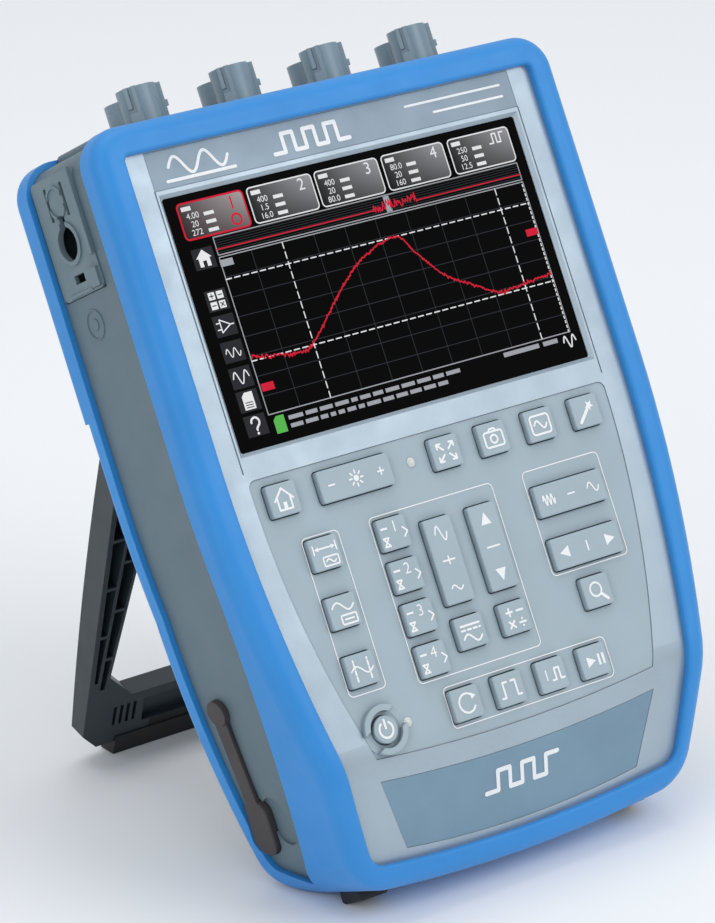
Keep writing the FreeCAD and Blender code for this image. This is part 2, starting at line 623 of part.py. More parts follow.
def make_rear_case():
    outer = case_block(BUMPER_SIDE).common(behind_seam(GAP - 1.5)).common(before_back(-2))
    pad = case_block(REAR_BUMPER_FACE + 0.6).common(before_back(0)).cut(before_back(-2.3))
    platform = box(-88, 88, 12, 50, 68, PLATFORM_Z)
    platform = fillet(platform, 2.0, lambda e: parallel_to(V(0, 1, 0))(e)
                      and e.CenterOfMass.z > 75)
    groove, groove_walls = stand_space(0.8), stand_space(3.0)
    sweep = on_back(stand_sweep())
    sweep_walls = on_back(pivot_cylinder(13.6, LEG_IN_TOP - 6, LEG_OUT_TOP + 6))
    bay = on_back(box(-BAY_HALF, BAY_HALF, -BAY_DEPTH, 6, BAY_LOW, BAY_TOP))
    bay_walls = on_back(box(-BAY_HALF - 2, BAY_HALF + 2, -BAY_DEPTH - 2, 6,
                            BAY_LOW - 2, BAY_TOP + 2))
    lid = on_back(box(-BAY_HALF - COVER_EDGE, BAY_HALF + COVER_EDGE, -COVER_T, 6,
                      BAY_LOW - COVER_EDGE, BAY_TOP + COVER_EDGE))
    lid_walls = on_back(box(-BAY_HALF - COVER_EDGE - 2, BAY_HALF + COVER_EDGE + 2,
                            -COVER_T - 6, 6, BAY_LOW - COVER_EDGE - 2,
                            BAY_TOP + COVER_EDGE + 2))
    posts = []
    for x, z, _ in CASE_SCREWS:
        posts += both_sides(cylinder(5.0, 90, V(x, -5, z), V(0, 1, 0)))
    for x, z in MAIN_POSTS:
        posts += both_sides(cylinder(3.5, 90, V(x, MAIN_BOARD_FRONT + MAIN_BOARD_T + GAP, z),
                                     V(0, 1, 0)))
    walls = Part.makeCompound([groove_walls, sweep_walls, mirrored(sweep_walls), bay_walls,
                               lid_walls] + posts)
    inside = case_block(BUMPER_SIDE + WALL).common(before_back(-4.5)).cut(walls)
    shell = fuse([outer, pad, platform]).cut(inside)
    sides = []
    for left in (True, False):
        sides += strap_recess(left)
    cuts = [groove, sweep, mirrored(sweep), bay, lid] + sides + jack_recess() + port_recess()
    cuts += both_sides(on_back(pivot_cylinder(PIN_R + 0.05, LEG_IN_TOP - 4, LEG_OUT_TOP + 4)))
    for x, z, head in CASE_SCREWS:
        cuts += both_sides(cylinder(SCREW_R + 0.3, 60, V(x, 0, z), V(0, 1, 0)))
        cuts += both_sides(cylinder(SCREW_HEAD_R + 0.4, 60, V(x, head, z), V(0, 1, 0)))
    for x, z in MAIN_POSTS:
        cuts += both_sides(cylinder(SMALL_SCREW_R + 0.05, 8, V(x, 18, z), V(0, 1, 0)))
    for x, z in cover_screw_places():
        hole = cylinder(SMALL_SCREW_R + 0.05, 6.4, V(x, 0, z), V(0, -1, 0))
        cuts.append(on_back(hole))
    for x in socket_places():
        cuts.append(socket_core(x, GAP, 60, 100))
        cuts.append(box(x - 10.4, x + 10.4, 12.4, 48.0, 60, 71.0))
    shell = shell.cut(Part.makeCompound(cuts))
    ring = cylinder(5.8, 0.9, V(-0.5, 0, 0), V(1, 0, 0)).cut(
        cylinder(5.1, 3, V(-1, 0, 0), V(1, 0, 0)))
    hub = cylinder(2.2, 0.9, V(-0.5, 0, 0), V(1, 0, 0))
    marks = [on_side(mark, BUMPER_SIDE, STRAP_Y, 13.4) for mark in (ring, hub)]
    return one_solid(shell.multiFuse(marks))


def bumper_level(proud, rounded_above):
    """Rear bumper ring standing a given height above the back all round."""
    outer = case_block(0).common(before_back(proud)).common(behind_seam(GAP))
    outer = outer.cut(before_back(REAR_BUMPER_EDGE))
    inner = case_block(BUMPER_SIDE - 0.02).common(before_back(-1.98))
    ring = one_solid(outer.cut(case_block(REAR_BUMPER_FACE)).cut(inner))
    before, rim = before_back(proud - 0.4), case_block(1.5)

    def on_back_rim(edge):
        middle = edge.valueAt((edge.FirstParameter + edge.LastParameter) / 2)
        behind = not before.isInside(middle, 0.001, True)
        at_rim = not rim.isInside(middle, 0.001, True)
        return behind and at_rim and middle.z > rounded_above

    return fillet(ring, 4.0, on_back_rim)


def make_rear_bumper():
    step = BACK_Y + REAR_PROUD_LOW
    above = polygon_yz([(-40, STEP_Z), (step, STEP_Z), (step + 20, STEP_Z + 20),
                        (step + 20, 110), (-40, 110)], -130, 130)
    top = bumper_level(REAR_PROUD_TOP, -90.0).common(above)
    low = bumper_level(REAR_PROUD_LOW, -188.0).cut(above)
    return one_solid(top.fuse(low).cut(Part.makeCompound([stand_space(0.8)] + cap_space())))


STRAP_Y = 34.5            # depth of the strap plates' middle


def strap_recess(left):
    """Seat for a strap plate, open behind it."""
    seat = box(-1.3, 6, -15.2, 15.2, -22.7, 22.7)
    window = box(-12, 6, -12, 12, -19, 19)
    return [on_side(shape, BUMPER_SIDE, STRAP_Y, 47.2, left) for shape in (seat, window)]


def make_strap_plate(left):
    """Moulded plate that a carrying strap hooks into."""
    plate = box(-1.2, 0.6, -15, 15, -22.5, 22.5)
    corners = [e for e in plate.Edges if parallel_to(V(1, 0, 0))(e)]
    plate = plate.makeFillet(3.0, corners)
    ridge = box(0.3, 1.9, -15, -12.6, -10, 22.5)
    seat = cylinder(6.2, 1.0, V(0.3, 0, 12.7), V(1, 0, 0)).cut(
        cylinder(5.2, 4, V(-1, 0, 12.7), V(1, 0, 0)))
    rim = fuse([cylinder(8.2, 1.0, V(0.3, 0, -3.0), V(1, 0, 0))])
    clip = box(0.3, 2.0, -14.2, -8.6, -21.5, -14.5)
    shelf = box(0.3, 1.2, -7, 9, -22.0, -20.8)
    body = fuse([plate, ridge, seat, rim, clip, shelf])
    drop = fuse([cylinder(6.4, 8, V(-3, 0, -3.0), V(1, 0, 0)),
                 box(-3, 5, -2.0, 2.0, 0, 7.6)])
    slits = [box(-3, 5, y - 0.9, y + 0.9, 6.5, 19.0) for y in (-5.9, 5.9)]
    hole = box(-3, 5, -3.6, 3.6, -17.8, -14.6)
    body = body.cut(Part.makeCompound([drop, hole] + slits))
    return one_solid(on_side(body, BUMPER_SIDE, STRAP_Y, 47.2, left))


# The rubber cover of the charging inlet on the left wall, as y, z in the case frame
ANCHOR = (43.8, -133.4)
CAP = (55.2, -178.0)
CAP_W, CAP_H, CAP_SLANT = 12.0, 24.0, 23.5
JACK = (49.9, -172.5)


def on_left_wall(shape, place):
    return on_side(shape, BUMPER_SIDE, place[0], place[1], True)


def upright_slot(y, width, height, x0, x1):
    """Block with fully rounded ends, standing on a side wall."""
    r = width / 2
    reach = height / 2 - r
    ends = [cylinder(r, x1 - x0, V(x0, y, way * reach), V(1, 0, 0)) for way in (-1, 1)]
    return fuse([box(x0, x1, y - r, y + r, -reach, reach)] + ends)


def slanted_cap(grow, x0, x1):
    """The cap's outline, grown by a margin, on the wall."""
    cap = upright_slot(0, CAP_W + 2 * grow, CAP_H + 2 * grow, x0, x1)
    cap.rotate(V(0, 0, 0), V(1, 0, 0), CAP_SLANT)
    return cap


def cap_space():
    return [on_left_wall(slanted_cap(0.4, -1.2, 6), CAP)]


def jack_recess():
    finger = on_left_wall(upright_slot(-11.2, 11.4, 20.0, -1.3, 6), CAP)
    hole = on_left_wall(cylinder(2.8, 20, V(-14, 0, 0), V(1, 0, 0)), JACK)
    return cap_space() + [finger, hole]


def make_dc_jack():
    barrel = cylinder(2.7, 11.5, V(-13.0, 0, 0), V(1, 0, 0))
    bore = cylinder(1.9, 10.0, V(-11.0, 0, 0), V(1, 0, 0))
    pin = cylinder(0.6, 8.5, V(-11.5, 0, 0), V(1, 0, 0))
    return one_solid(on_left_wall(barrel.cut(bore).fuse(pin), JACK))


def make_dc_plug_cover():
    """Rubber cap, its strap and the round anchor, in one piece."""
    anchor = cylinder(5.0, 2.4, V(0.2, 0, 0), V(1, 0, 0))
    cap = fillet(slanted_cap(0, -1.0, 2.2), 0.8, lambda edge: edge.BoundBox.XMin > 2.1)
    middle = ((ANCHOR[0] + CAP[0] - 2.4) / 2, (ANCHOR[1] + CAP[1] + 6) / 2)
    reach = (ANCHOR[1] - CAP[1] - 4) / 2
    lean = (CAP[0] - 2.4 - ANCHOR[0]) / 2
    corners = [V(0.3, -lean - 3.6, reach), V(0.3, -lean + 3.6, reach),
               V(0.3, lean + 3.4, -reach), V(0.3, lean - 3.4, -reach)]
    strap = Part.Face(Part.makePolygon(corners + corners[:1])).extrude(V(1.5, 0, 0))
    return one_solid(fuse([on_left_wall(cap, CAP), on_left_wall(anchor, ANCHOR),
                           on_left_wall(strap, middle)]))


# Data ports and their flap on the right wall
PORT_Y, PORT_Z = 30.0, -12.0
FLAP_W, FLAP_H = 25.0, 58.0
PORTS = [(15.0, 16.0, 13.6), (-3.5, 13.2, 6.0), (-17.5, 14.6, 2.4)]


def on_port_wall(shape):
    return on_side(shape, BUMPER_SIDE, PORT_Y, PORT_Z, False)


def port_recess():
    seat = box(-1.6, 6, -FLAP_W / 2 - 0.3, FLAP_W / 2 + 0.3, -FLAP_H / 2 - 0.3, FLAP_H / 2 + 1.4)
    finger = box(-1.6, 6, -5, 5, -FLAP_H / 2 - 4.0, -FLAP_H / 2)
    holes = [box(-9, 6, -w / 2, w / 2, z - h / 2, z + h / 2) for z, w, h in PORTS]
    return [on_port_wall(shape) for shape in [seat, finger] + holes]


def make_port_cover():
    flap = box(-1.5, 0.6, -FLAP_W / 2, FLAP_W / 2, -FLAP_H / 2, FLAP_H / 2)
    flap = flap.makeFillet(0.5, [e for e in flap.Edges if e.BoundBox.XMin > 0.5])
    barrel = cylinder(1.2, FLAP_W, V(-0.3, -FLAP_W / 2, FLAP_H / 2 - 0.1), V(0, 1, 0))
    grips = [box(0.4, 1.1, -8, 8, z, z + 1.0) for z in (-26, -23.6, -21.2)]
    return one_solid(on_port_wall(fuse([flap, barrel] + grips)))


def make_data_ports():
    """Metal shells of the network, USB and memory card sockets."""
    shells = []
    for z, w, h in PORTS:
        shell = box(-11.2, -2.6, -w / 2 - 0.8, w / 2 + 0.8, z - h / 2 - 0.8, z + h / 2 + 0.8)
        shell = shell.cut(box(-10.2, 0, -w / 2, w / 2, z - h / 2, z + h / 2))
        shells.append(one_solid(on_port_wall(shell)))
    return Part.makeCompound(shells)


# ---- Inputs on the top -------------------------------------------------------
def socket_places():
    return [SOCKET_PITCH * (i - 1.5) for i in range(4)]


def socket_core(x, grow, z0, z1):
    """The two joined barrels of an input socket, grown by a margin."""
    front = cylinder(SOCKET_R + grow, z1 - z0, V(x, SOCKET_Y, z0), V(0, 0, 1))
    rear = cylinder(SOCKET_R - 0.1 + grow, z1 - z0, V(x, SOCKET_Y + SOCKET_TAIL, z0), V(0, 0, 1))
    return front.fuse(rear)


def make_input_socket(x):
    top = PLATFORM_Z + SOCKET_H
    front = cylinder(SOCKET_R, SOCKET_H + 16, V(x, SOCKET_Y, top - SOCKET_H - 16), V(0, 0, 1))
    rear_top = top - SOCKET_TAIL_DROP
    rear = cylinder(SOCKET_R - 0.1, rear_top - 62.4, V(x, SOCKET_Y + SOCKET_TAIL, 62.4),
                    V(0, 0, 1))
    flange = box(x - 10, x + 10, 13, 47.5, 67.0, 70.8)
    band = box(-2.3, 2.3, -SOCKET_R - 1.1, -SOCKET_R + 2, PLATFORM_Z + 0.1, top)
    slot = box(-0.7, 0.7, -SOCKET_R - 2, -SOCKET_R - 0.3, PLATFORM_Z + 6.2, top + 1)
    notch = box(-3, 0.7, -SOCKET_R - 2, -SOCKET_R - 0.3, PLATFORM_Z + 4.8, PLATFORM_Z + 6.4)
    rib = box(-0.7, 0.7, -SOCKET_R - 1.9, -SOCKET_R + 2, PLATFORM_Z + 0.1, top)
    bump = box(-0.7, 0.7, -SOCKET_R - 2.8, -SOCKET_R, PLATFORM_Z + 5.2, PLATFORM_Z + 7.6)
    extras = []
    for shape, angle in ((band, -48), (slot, -48), (notch, -48), (rib, 72), (bump, 72)):
        shape.rotate(V(0, 0, 0), V(0, 0, 1), angle)
        shape.translate(V(x, SOCKET_Y, 0))
        extras.append(shape)
    band, slot, notch, rib, bump = extras
    body = fuse([front, rear, flange, band.cut(slot).cut(notch), rib, bump])
    bore = cylinder(SOCKET_BORE_R, SOCKET_BORE_DEPTH, V(x, SOCKET_Y, top - SOCKET_BORE_DEPTH),
                    V(0, 0, 1))
    well = cylinder(2.2, 12, V(x, SOCKET_Y, top - SOCKET_BORE_DEPTH - 8), V(0, 0, 1))
    pocket = cylinder(4.9, 9.0, V(x, SOCKET_Y + SOCKET_TAIL + 1.2, rear_top - 6.0), V(0, 0, 1))
    pins = [cylinder(0.62, 30, V(x + dx, SOCKET_Y + SOCKET_TAIL + 1.2, top - 20), V(0, 0, 1))
            for dx in (-3, 0, 3)]
    return one_solid(body.cut(Part.makeCompound([bore, well, pocket] + pins)))


def make_input_contacts():
    """Centre contact and three coding pins of every input."""
    top = PLATFORM_Z + SOCKET_H
    contacts = []
    for x in socket_places():
        stem = cylinder(1.6, 7.8, V(x, SOCKET_Y, top - SOCKET_BORE_DEPTH - 7.9), V(0, 0, 1))
        contacts.append(stem.cut(cylinder(0.7, 5, V(x, SOCKET_Y, top - SOCKET_BORE_DEPTH - 4),
                                          V(0, 0, 1))))
        for dx in (-3, 0, 3):
            contacts.append(cylinder(0.6, 11, V(x + dx, SOCKET_Y + SOCKET_TAIL + 1.2, top - 15),
                                     V(0, 0, 1)))
    return Part.makeCompound(contacts)


# ---- Electronics and battery -------------------------------------------------
def make_main_board():
    front, back = MAIN_BOARD_FRONT, MAIN_BOARD_FRONT + MAIN_BOARD_T
    board = rounded_block(0, 4, 160, 100, front, back, 3)
    chips = [rounded_block(x, z, size, size, front - 2.2, front + 0.2, 0.5)
             for x, z, size in ((-34, -20, 27), (4, -18, 19), (34, -22, 14), (-6, 22, 12))]
    plugs = [box(x, x + 18, front - 4, front + 0.2, -45.8, -40.8) for x in (-50, 20)]
    holes = []
    for x, z in MAIN_POSTS:
        holes += both_sides(cylinder(SMALL_SCREW_R + 0.2, 8, V(x, front - 3, z), V(0, 1, 0)))
    return one_solid(fuse([board] + chips + plugs).cut(Part.makeCompound(holes)))


def make_input_shields():
    """Folded metal cans over the four isolated input stages."""
    back = MAIN_BOARD_FRONT + MAIN_BOARD_T + 0.1
    cans = []
    for x in socket_places():
        can = box(x - 14, x + 14, back, back + 10.5, 17, 52)
        can = can.makeFillet(1.0, [e for e in can.Edges if parallel_to(V(0, 1, 0))(e)])
        cans.append(can.cut(box(x - 13.4, x + 13.4, back - 1, back + 9.9, 17.6, 51.4)))
    return Part.makeCompound(cans)


def make_antenna_board():
    """Small wireless board on the left, off the main board's lower edge."""
    card = box(-82, -56, 24, 25.2, -60, -48)
    can = box(-80, -68, 25.1, 27.2, -58.5, -49.5)
    link = box(-63, -58, 21.7, 24.1, -52, -46.4)
    return one_solid(fuse([card, can, link]))


def make_battery_pack():
    """Six cells side by side in a wrapped pack."""
    cells = []
    for i in range(6):
        x = -41 + 16.4 * i
        cells.append(cylinder(8.8, 70, V(x, -BAY_DEPTH / 2 - 2.4, BAY_LOW + 3), V(0, 0, 1)))
    wrap = box(-41, 41, -BAY_DEPTH / 2 - 10.6, -BAY_DEPTH / 2 + 5.8, BAY_LOW + 3, BAY_LOW + 73)
    return one_solid(on_back(fuse([wrap] + cells)))


def cover_screw_places():
    z = (BAY_LOW + BAY_TOP) / 2 + 28
    return [(BAY_HALF + 1.2, z), (-BAY_HALF - 1.2, z)]


def make_battery_cover():
    edge, z = COVER_EDGE - 0.3, (BAY_LOW + BAY_TOP) / 2
    width, height = 2 * (BAY_HALF + edge), BAY_TOP - BAY_LOW + 2 * edge
    plate = rounded_block(0, z, width, height, 0.15 - COVER_T, -0.05, 3)
    ribs = [box(-30, 30, -0.2, 0.5, z - 30 + 3.2 * i, z - 28.6 + 3.2 * i) for i in range(4)]
    holes = [cylinder(SMALL_SCREW_R + 0.3, 9, V(x, -5, sz), V(0, 1, 0))
             for x, sz in cover_screw_places()]
    return one_solid(on_back(fuse([plate] + ribs).cut(Part.makeCompound(holes))))


def make_cover_screws():
    screws = []
    for x, z in cover_screw_places():
        head = cylinder(2.4, 1.1, V(x, -0.02, z), V(0, 1, 0))
        shank = cylinder(SMALL_SCREW_R, 7.0, V(x, -6.3, z), V(0, 1, 0))
        slot = box(x - 3, x + 3, 0.6, 2, z - 0.35, z + 0.35)
        screws.append(one_solid(on_back(head.fuse(shank).cut(slot))))
    return Part.makeCompound(screws)


def make_case_screws():
    screws = []
    for x, z, head in CASE_SCREWS:
        shank = cylinder(SCREW_R, SCREW_LENGTH, V(x, head + 0.1, z), V(0, -1, 0))
        cap = cylinder(SCREW_HEAD_R, SCREW_HEAD_H, V(x, head + 0.05, z), V(0, 1, 0))
        socket = Part.makeBox(2.2, 3, 2.2, V(x - 1.1, head + 1.0, z - 1.1))
        screws += both_sides(one_solid(cap.fuse(shank).cut(socket)))
    return Part.makeCompound(screws)


# ---- Stand and feet ----------------------------------------------------------
def swing_open(shape):
    """Swing a folded piece of the stand out to its open stop, in the case frame."""
    opened = shape.copy()
    opened.rotate(V(0, -PIVOT_DEPTH, PIVOT_Z), V(1, 0, 0), STAND_OPEN)
    return on_back(opened)


def leg_pockets():
    """Two staggered rows of pockets in the face of one leg that meets the case."""
    cuts = []
    first, last, pitch, rib = 16.0, 158.0, 23.0, 1.4
    for row in (0, 1):
        s = first - pitch * 0.5 * row
        while s < last:
            a, b = max(s, first - 4) + rib, min(s + pitch, last)
            if b - a > 6:
                corners = []
                for at in (a, b, b, a):
                    inner, out = leg_half(at)
                    middle = (inner + out) / 2
                    near_out = len(corners) in (0, 1)
                    if row == 0:
                        x = out - 2.4 if near_out else middle + 0.7
                    else:
                        x = middle - 0.7 if near_out else inner + 1.6
                    corners.append((x, PIVOT_Z - at))
                cuts.append(polygon_xz(corners, -PIVOT_DEPTH - 20, -PIVOT_DEPTH + 1.6))
            s += pitch
    return cuts


def make_kickstand():
    half = LEG_T / 2
    frame = stand_outline(0, -30, 10, head=7.0)
    low = PIVOT_Z - STAND_LENGTH - 1
    front = -PIVOT_DEPTH - half
    bulge = [V(-100, front, PIVOT_Z + 8), V(-100, front + LEG_T, PIVOT_Z + 8),
             V(-100, front + LEG_T, PIVOT_Z - 20), V(-100, front + 7.4, low),
             V(-100, front, low)]
    middle = V(-100, front + LEG_T + 1.6, PIVOT_Z - 95)
    edges = [line(bulge[0], bulge[1]), line(bulge[1], bulge[2]),
             arc(bulge[2], middle, bulge[3]), line(bulge[3], bulge[4]),
             line(bulge[4], bulge[0])]
    thickness = face_of(edges).extrude(V(200, 0, 0))
    stand = one_solid(frame.common(thickness))
    heads = both_sides(pivot_cylinder(half, LEG_IN_TOP, LEG_OUT_TOP))
    stand = fuse([stand] + heads)
    bores = both_sides(pivot_cylinder(PIN_R + 0.1, LEG_IN_TOP - 5, LEG_OUT_TOP + 5))
    cuts = leg_pockets()
    cuts += [mirrored(cut) for cut in cuts]
    bar_low = PIVOT_Z - STAND_BAR_LOW
    sole_seat = box(-66, 66, -30, 10, low - 5, bar_low)
    tongue_seat = box(-50.1, 50.1, front - 1, front + 3.3, bar_low - 1, bar_low + 3.9)
    tray = polygon_xz([(-54, bar_low + 4), (54, bar_low + 4), (54, bar_low + 15),
                       (-54, bar_low + 15)], front - 1, front + 3.4)
    slots = []
    for i in range(4):
        slot = box(57.5 + 3.1 * i, 59.0 + 3.1 * i, front - 1, front + 3.0,
                   bar_low + 6, bar_low + 15)
        slots += both_sides(slot)
    grooves = both_sides(box(LEG_OUT_TOP - 0.8, LEG_OUT_TOP + 3, front + 6.6, front + 7.4,
                             PIVOT_Z - 150, PIVOT_Z - 4))
    cut = Part.makeCompound(cuts + bores + [sole_seat, tongue_seat, tray] + slots + grooves)
    return one_solid(swing_open(stand.cut(cut)))


def make_stand_sole():
    """Rubber sole along the stand's foot bar, before its tread is cut level."""
    bar_low = PIVOT_Z - STAND_BAR_LOW
    front = -PIVOT_DEPTH - LEG_T / 2
    sole = box(-SOLE_HALF, SOLE_HALF, front - 0.6, front + 7.6, bar_low - 14, bar_low - 0.05)
    tongue = box(-50, 50, front + 0.2, front + 3.2, bar_low - 2, bar_low + 3.8)
    return swing_open(one_solid(sole.fuse(tongue)))


def make_stand_pins():
    pins = both_sides(on_back(pivot_cylinder(PIN_R, LEG_IN_TOP - 3.8, LEG_OUT_TOP + 3.8)))
    return Part.makeCompound(pins)


FOOT_X, FOOT_W, FOOT_Y0, FOOT_Y1, FOOT_LOW = 62.0, 13.0, 34.0, 46.0, -214.6


def make_base_feet():
    """Two rubber pads under the bottom edge."""
    feet = []
    for x in (-FOOT_X, FOOT_X):
        pad = box(x - FOOT_W / 2, x + FOOT_W / 2, FOOT_Y0, FOOT_Y1, FOOT_LOW, -198)
        pad = pad.makeFillet(1.5, [e for e in pad.Edges if e.BoundBox.ZMax < FOOT_LOW + 0.1])
        feet.append(one_solid(pad.cut(case_block(-0.02))))
    return Part.makeCompound(feet)


# ---- Assembly ----------------------------------------------------------------
def lean_back(shape):
    leaned = shape.copy()
    leaned.rotate(V(0, 0, 0), V(1, 0, 0), -LEAN)
    return leaned


def low_point(shape):
    return shape.optimalBoundingBox(False, False).ZMin


def case_pieces():
    """Every piece in the case frame, by node name."""
    pieces = {
        "front_case": make_front_case(),
        "rear_case": make_rear_case(),
        "front_bumper": make_front_bumper(),
        "rear_bumper": make_rear_bumper(),
        "touch_glass": make_touch_glass(),
        "lcd_panel": make_lcd_panel(),
        "display_bracket": make_display_bracket(),
        "header_plate": make_header_plate(),
        "name_plate": make_name_plate(),
        "keypad_mat": make_keypad_mat(),
        "keypad_board": make_keypad_board(),
        "key_power": make_power_key(),
        "led_lenses": make_led_lenses(),
        "strap_plate_left": make_strap_plate(True),
        "strap_plate_right": make_strap_plate(False),
        "dc_jack": make_dc_jack(),
        "dc_plug_cover": make_dc_plug_cover(),
        "port_cover": make_port_cover(),
        "data_ports": make_data_ports(),
        "main_board": make_main_board(),
        "input_shields": make_input_shields(),
        "antenna_board": make_antenna_board(),
        "battery_pack": make_battery_pack(),
        "battery_cover": make_battery_cover(),
        "cover_screws": make_cover_screws(),
        "case_screws": make_case_screws(),
        "board_screws": make_board_screws(),
        "input_contacts": make_input_contacts(),
        "kickstand": make_kickstand(),
        "stand_sole": make_stand_sole(),
        "stand_pins": make_stand_pins(),
        "base_feet": make_base_feet(),
    }
    for i, x in enumerate(socket_places()):
        pieces["input_socket_%d" % (i + 1)] = make_input_socket(x)
    for name, place in key_layout().items():
        pieces[name] = make_key(*place)
    return pieces


def placed_pieces():
    """Every piece where it stands, and the shift from the leaned case frame."""
    pieces = {name: lean_back(shape) for name, shape in case_pieces().items()}
    floor = low_point(pieces["base_feet"])
    below = Part.makeBox(400, 400, 60, V(-200, -200, floor - 60))
    pieces["stand_sole"] = one_solid(pieces["stand_sole"].cut(below))
    pieces["kickstand"] = one_solid(pieces["kickstand"].cut(below))
    boxes = [shape.optimalBoundingBox(False, False) for shape in pieces.values()]
    middle = (min(b.YMin for b in boxes) + max(b.YMax for b in boxes)) / 2
    shift = V(0, -middle, -floor)
    for shape in pieces.values():
        shape.translate(shift)
    return pieces, shift


def main():
    os.makedirs("parts", exist_ok=True)
    pieces, shift = placed_pieces()
    for name, shape in pieces.items():
        if not shape.isValid():
            print("invalid:", name)
        shape.exportStep("parts/" + name + ".step")
    print(len(pieces), "nodes, shift", round(shift.y, 3), round(shift.z, 3))


main()
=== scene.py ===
import json
import math
import random

import bpy
from mathutils import Matrix, Vector


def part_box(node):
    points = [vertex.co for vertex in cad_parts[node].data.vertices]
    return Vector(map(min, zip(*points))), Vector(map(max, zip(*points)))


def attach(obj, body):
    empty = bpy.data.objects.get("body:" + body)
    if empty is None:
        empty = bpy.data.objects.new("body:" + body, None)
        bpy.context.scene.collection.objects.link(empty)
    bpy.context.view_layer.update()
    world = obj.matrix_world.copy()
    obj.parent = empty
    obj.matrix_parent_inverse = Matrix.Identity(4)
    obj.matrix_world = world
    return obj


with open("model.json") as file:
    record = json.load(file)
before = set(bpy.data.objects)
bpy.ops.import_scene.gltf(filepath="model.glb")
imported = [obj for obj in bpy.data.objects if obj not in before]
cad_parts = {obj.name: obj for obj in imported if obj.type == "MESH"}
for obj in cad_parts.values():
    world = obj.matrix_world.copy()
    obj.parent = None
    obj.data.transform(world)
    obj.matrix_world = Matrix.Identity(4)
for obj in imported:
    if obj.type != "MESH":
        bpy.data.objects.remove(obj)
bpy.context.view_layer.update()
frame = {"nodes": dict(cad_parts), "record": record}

nodes = frame["nodes"]

# ---- The case frame: X right, Y into the case, Z up the panel, mm -------------
LEAN = math.radians(29.7)
TURN = Matrix.Rotation(-LEAN, 3, "X")
GLASS_FRONT, GLASS_BACK = 1.85, 3.3
low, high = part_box("touch_glass")
ORIGIN = (low + high) / 2 - TURN @ Vector((0, (GLASS_FRONT + GLASS_BACK) / 2000, 0))


def at(x, y, z):
    """A point of the case frame in the row frame, in metres."""
    return ORIGIN + TURN @ (Vector((x, y, z)) / 1000)


def case_box(node):
    """Lowest and highest corner of a node in the case frame, in mm."""
    back = TURN.transposed()
    points = [back @ (v.co - ORIGIN) * 1000 for v in nodes[node].data.vertices]
    return ([min(p[i] for p in points) for i in range(3)],
            [max(p[i] for p in points) for i in range(3)])


BEND_Z, BEND_R, NAME_SLOPE = -160.0, 30.0, math.radians(24)


def face_y(z, offset):
    """Depth of the panel surface moved back by an offset, at a height."""
    if z >= BEND_Z:
        return offset
    r = BEND_R - offset
    end = BEND_Z - r * math.sin(NAME_SLOPE)
    if z >= end:
        return BEND_R - math.sqrt(r * r - (z - BEND_Z) ** 2)
    return BEND_R - r * math.cos(NAME_SLOPE) + (end - z) * math.tan(NAME_SLOPE)


# ---- Materials ----------------------------------------------------------------
def srgb(r, g, b):
    return tuple((c / 255) ** 2.2 for c in (r, g, b)) + (1,)


def lighter(colour, k):
    return tuple(min(1.0, c * k) for c in colour[:3]) + (1,)


class Graph:
    """A material's node tree with short ways to add and join nodes."""

    def __init__(self, name):
        self.material = bpy.data.materials.new(name)
        self.material.use_nodes = True
        self.tree = self.material.node_tree
        self.tree.nodes.clear()
        self.where = self.add("ShaderNodeTexCoord").outputs["Object"]

    def add(self, kind, inputs=None, **settings):
        node = self.tree.nodes.new(kind)
        for key, value in settings.items():
            setattr(node, key, value)
        for key, value in (inputs or {}).items():
            if isinstance(value, bpy.types.NodeSocket):
                self.tree.links.new(value, node.inputs[key])
            else:
                node.inputs[key].default_value = value
        return node

    def noise(self, scale, detail=3.0, rough=0.55):
        return self.add("ShaderNodeTexNoise", {"Vector": self.where, "Scale": scale,
                                               "Detail": detail, "Roughness": rough}).outputs[0]

    def spread(self, value, low, high, at_low=0.3, at_high=0.7):
        """Map a value onto a range."""
        return self.add("ShaderNodeMapRange", {"Value": value, "From Min": at_low,
                                               "From Max": at_high, "To Min": low,
                                               "To Max": high}).outputs[0]

    def mix(self, factor, a, b, blend="MIX"):
        node = self.add("ShaderNodeMix", data_type="RGBA", blend_type=blend)
        for index, value in ((0, factor), (6, a), (7, b)):
            if isinstance(value, bpy.types.NodeSocket):
                self.tree.links.new(value, node.inputs[index])
            else:
                node.inputs[index].default_value = value
        return node.outputs[2]

    def maths(self, operation, a, b):
        return self.add("ShaderNodeMath", {0: a, 1: b}, operation=operation).outputs[0]

    def out(self, shader):
        self.add("ShaderNodeOutputMaterial", {"Surface": shader})
        return self.material


# Scales of the uneven tone, wear, painted crevice shade and gloss, per metre
TONE_SPOTS, WEAR_SPOTS, SHADE_SPOTS, GLOSS_SPOTS = 28.0, 420.0, 160.0, 75.0
CREVICE_REACH = 0.004
EDGE_SAMPLES = 4


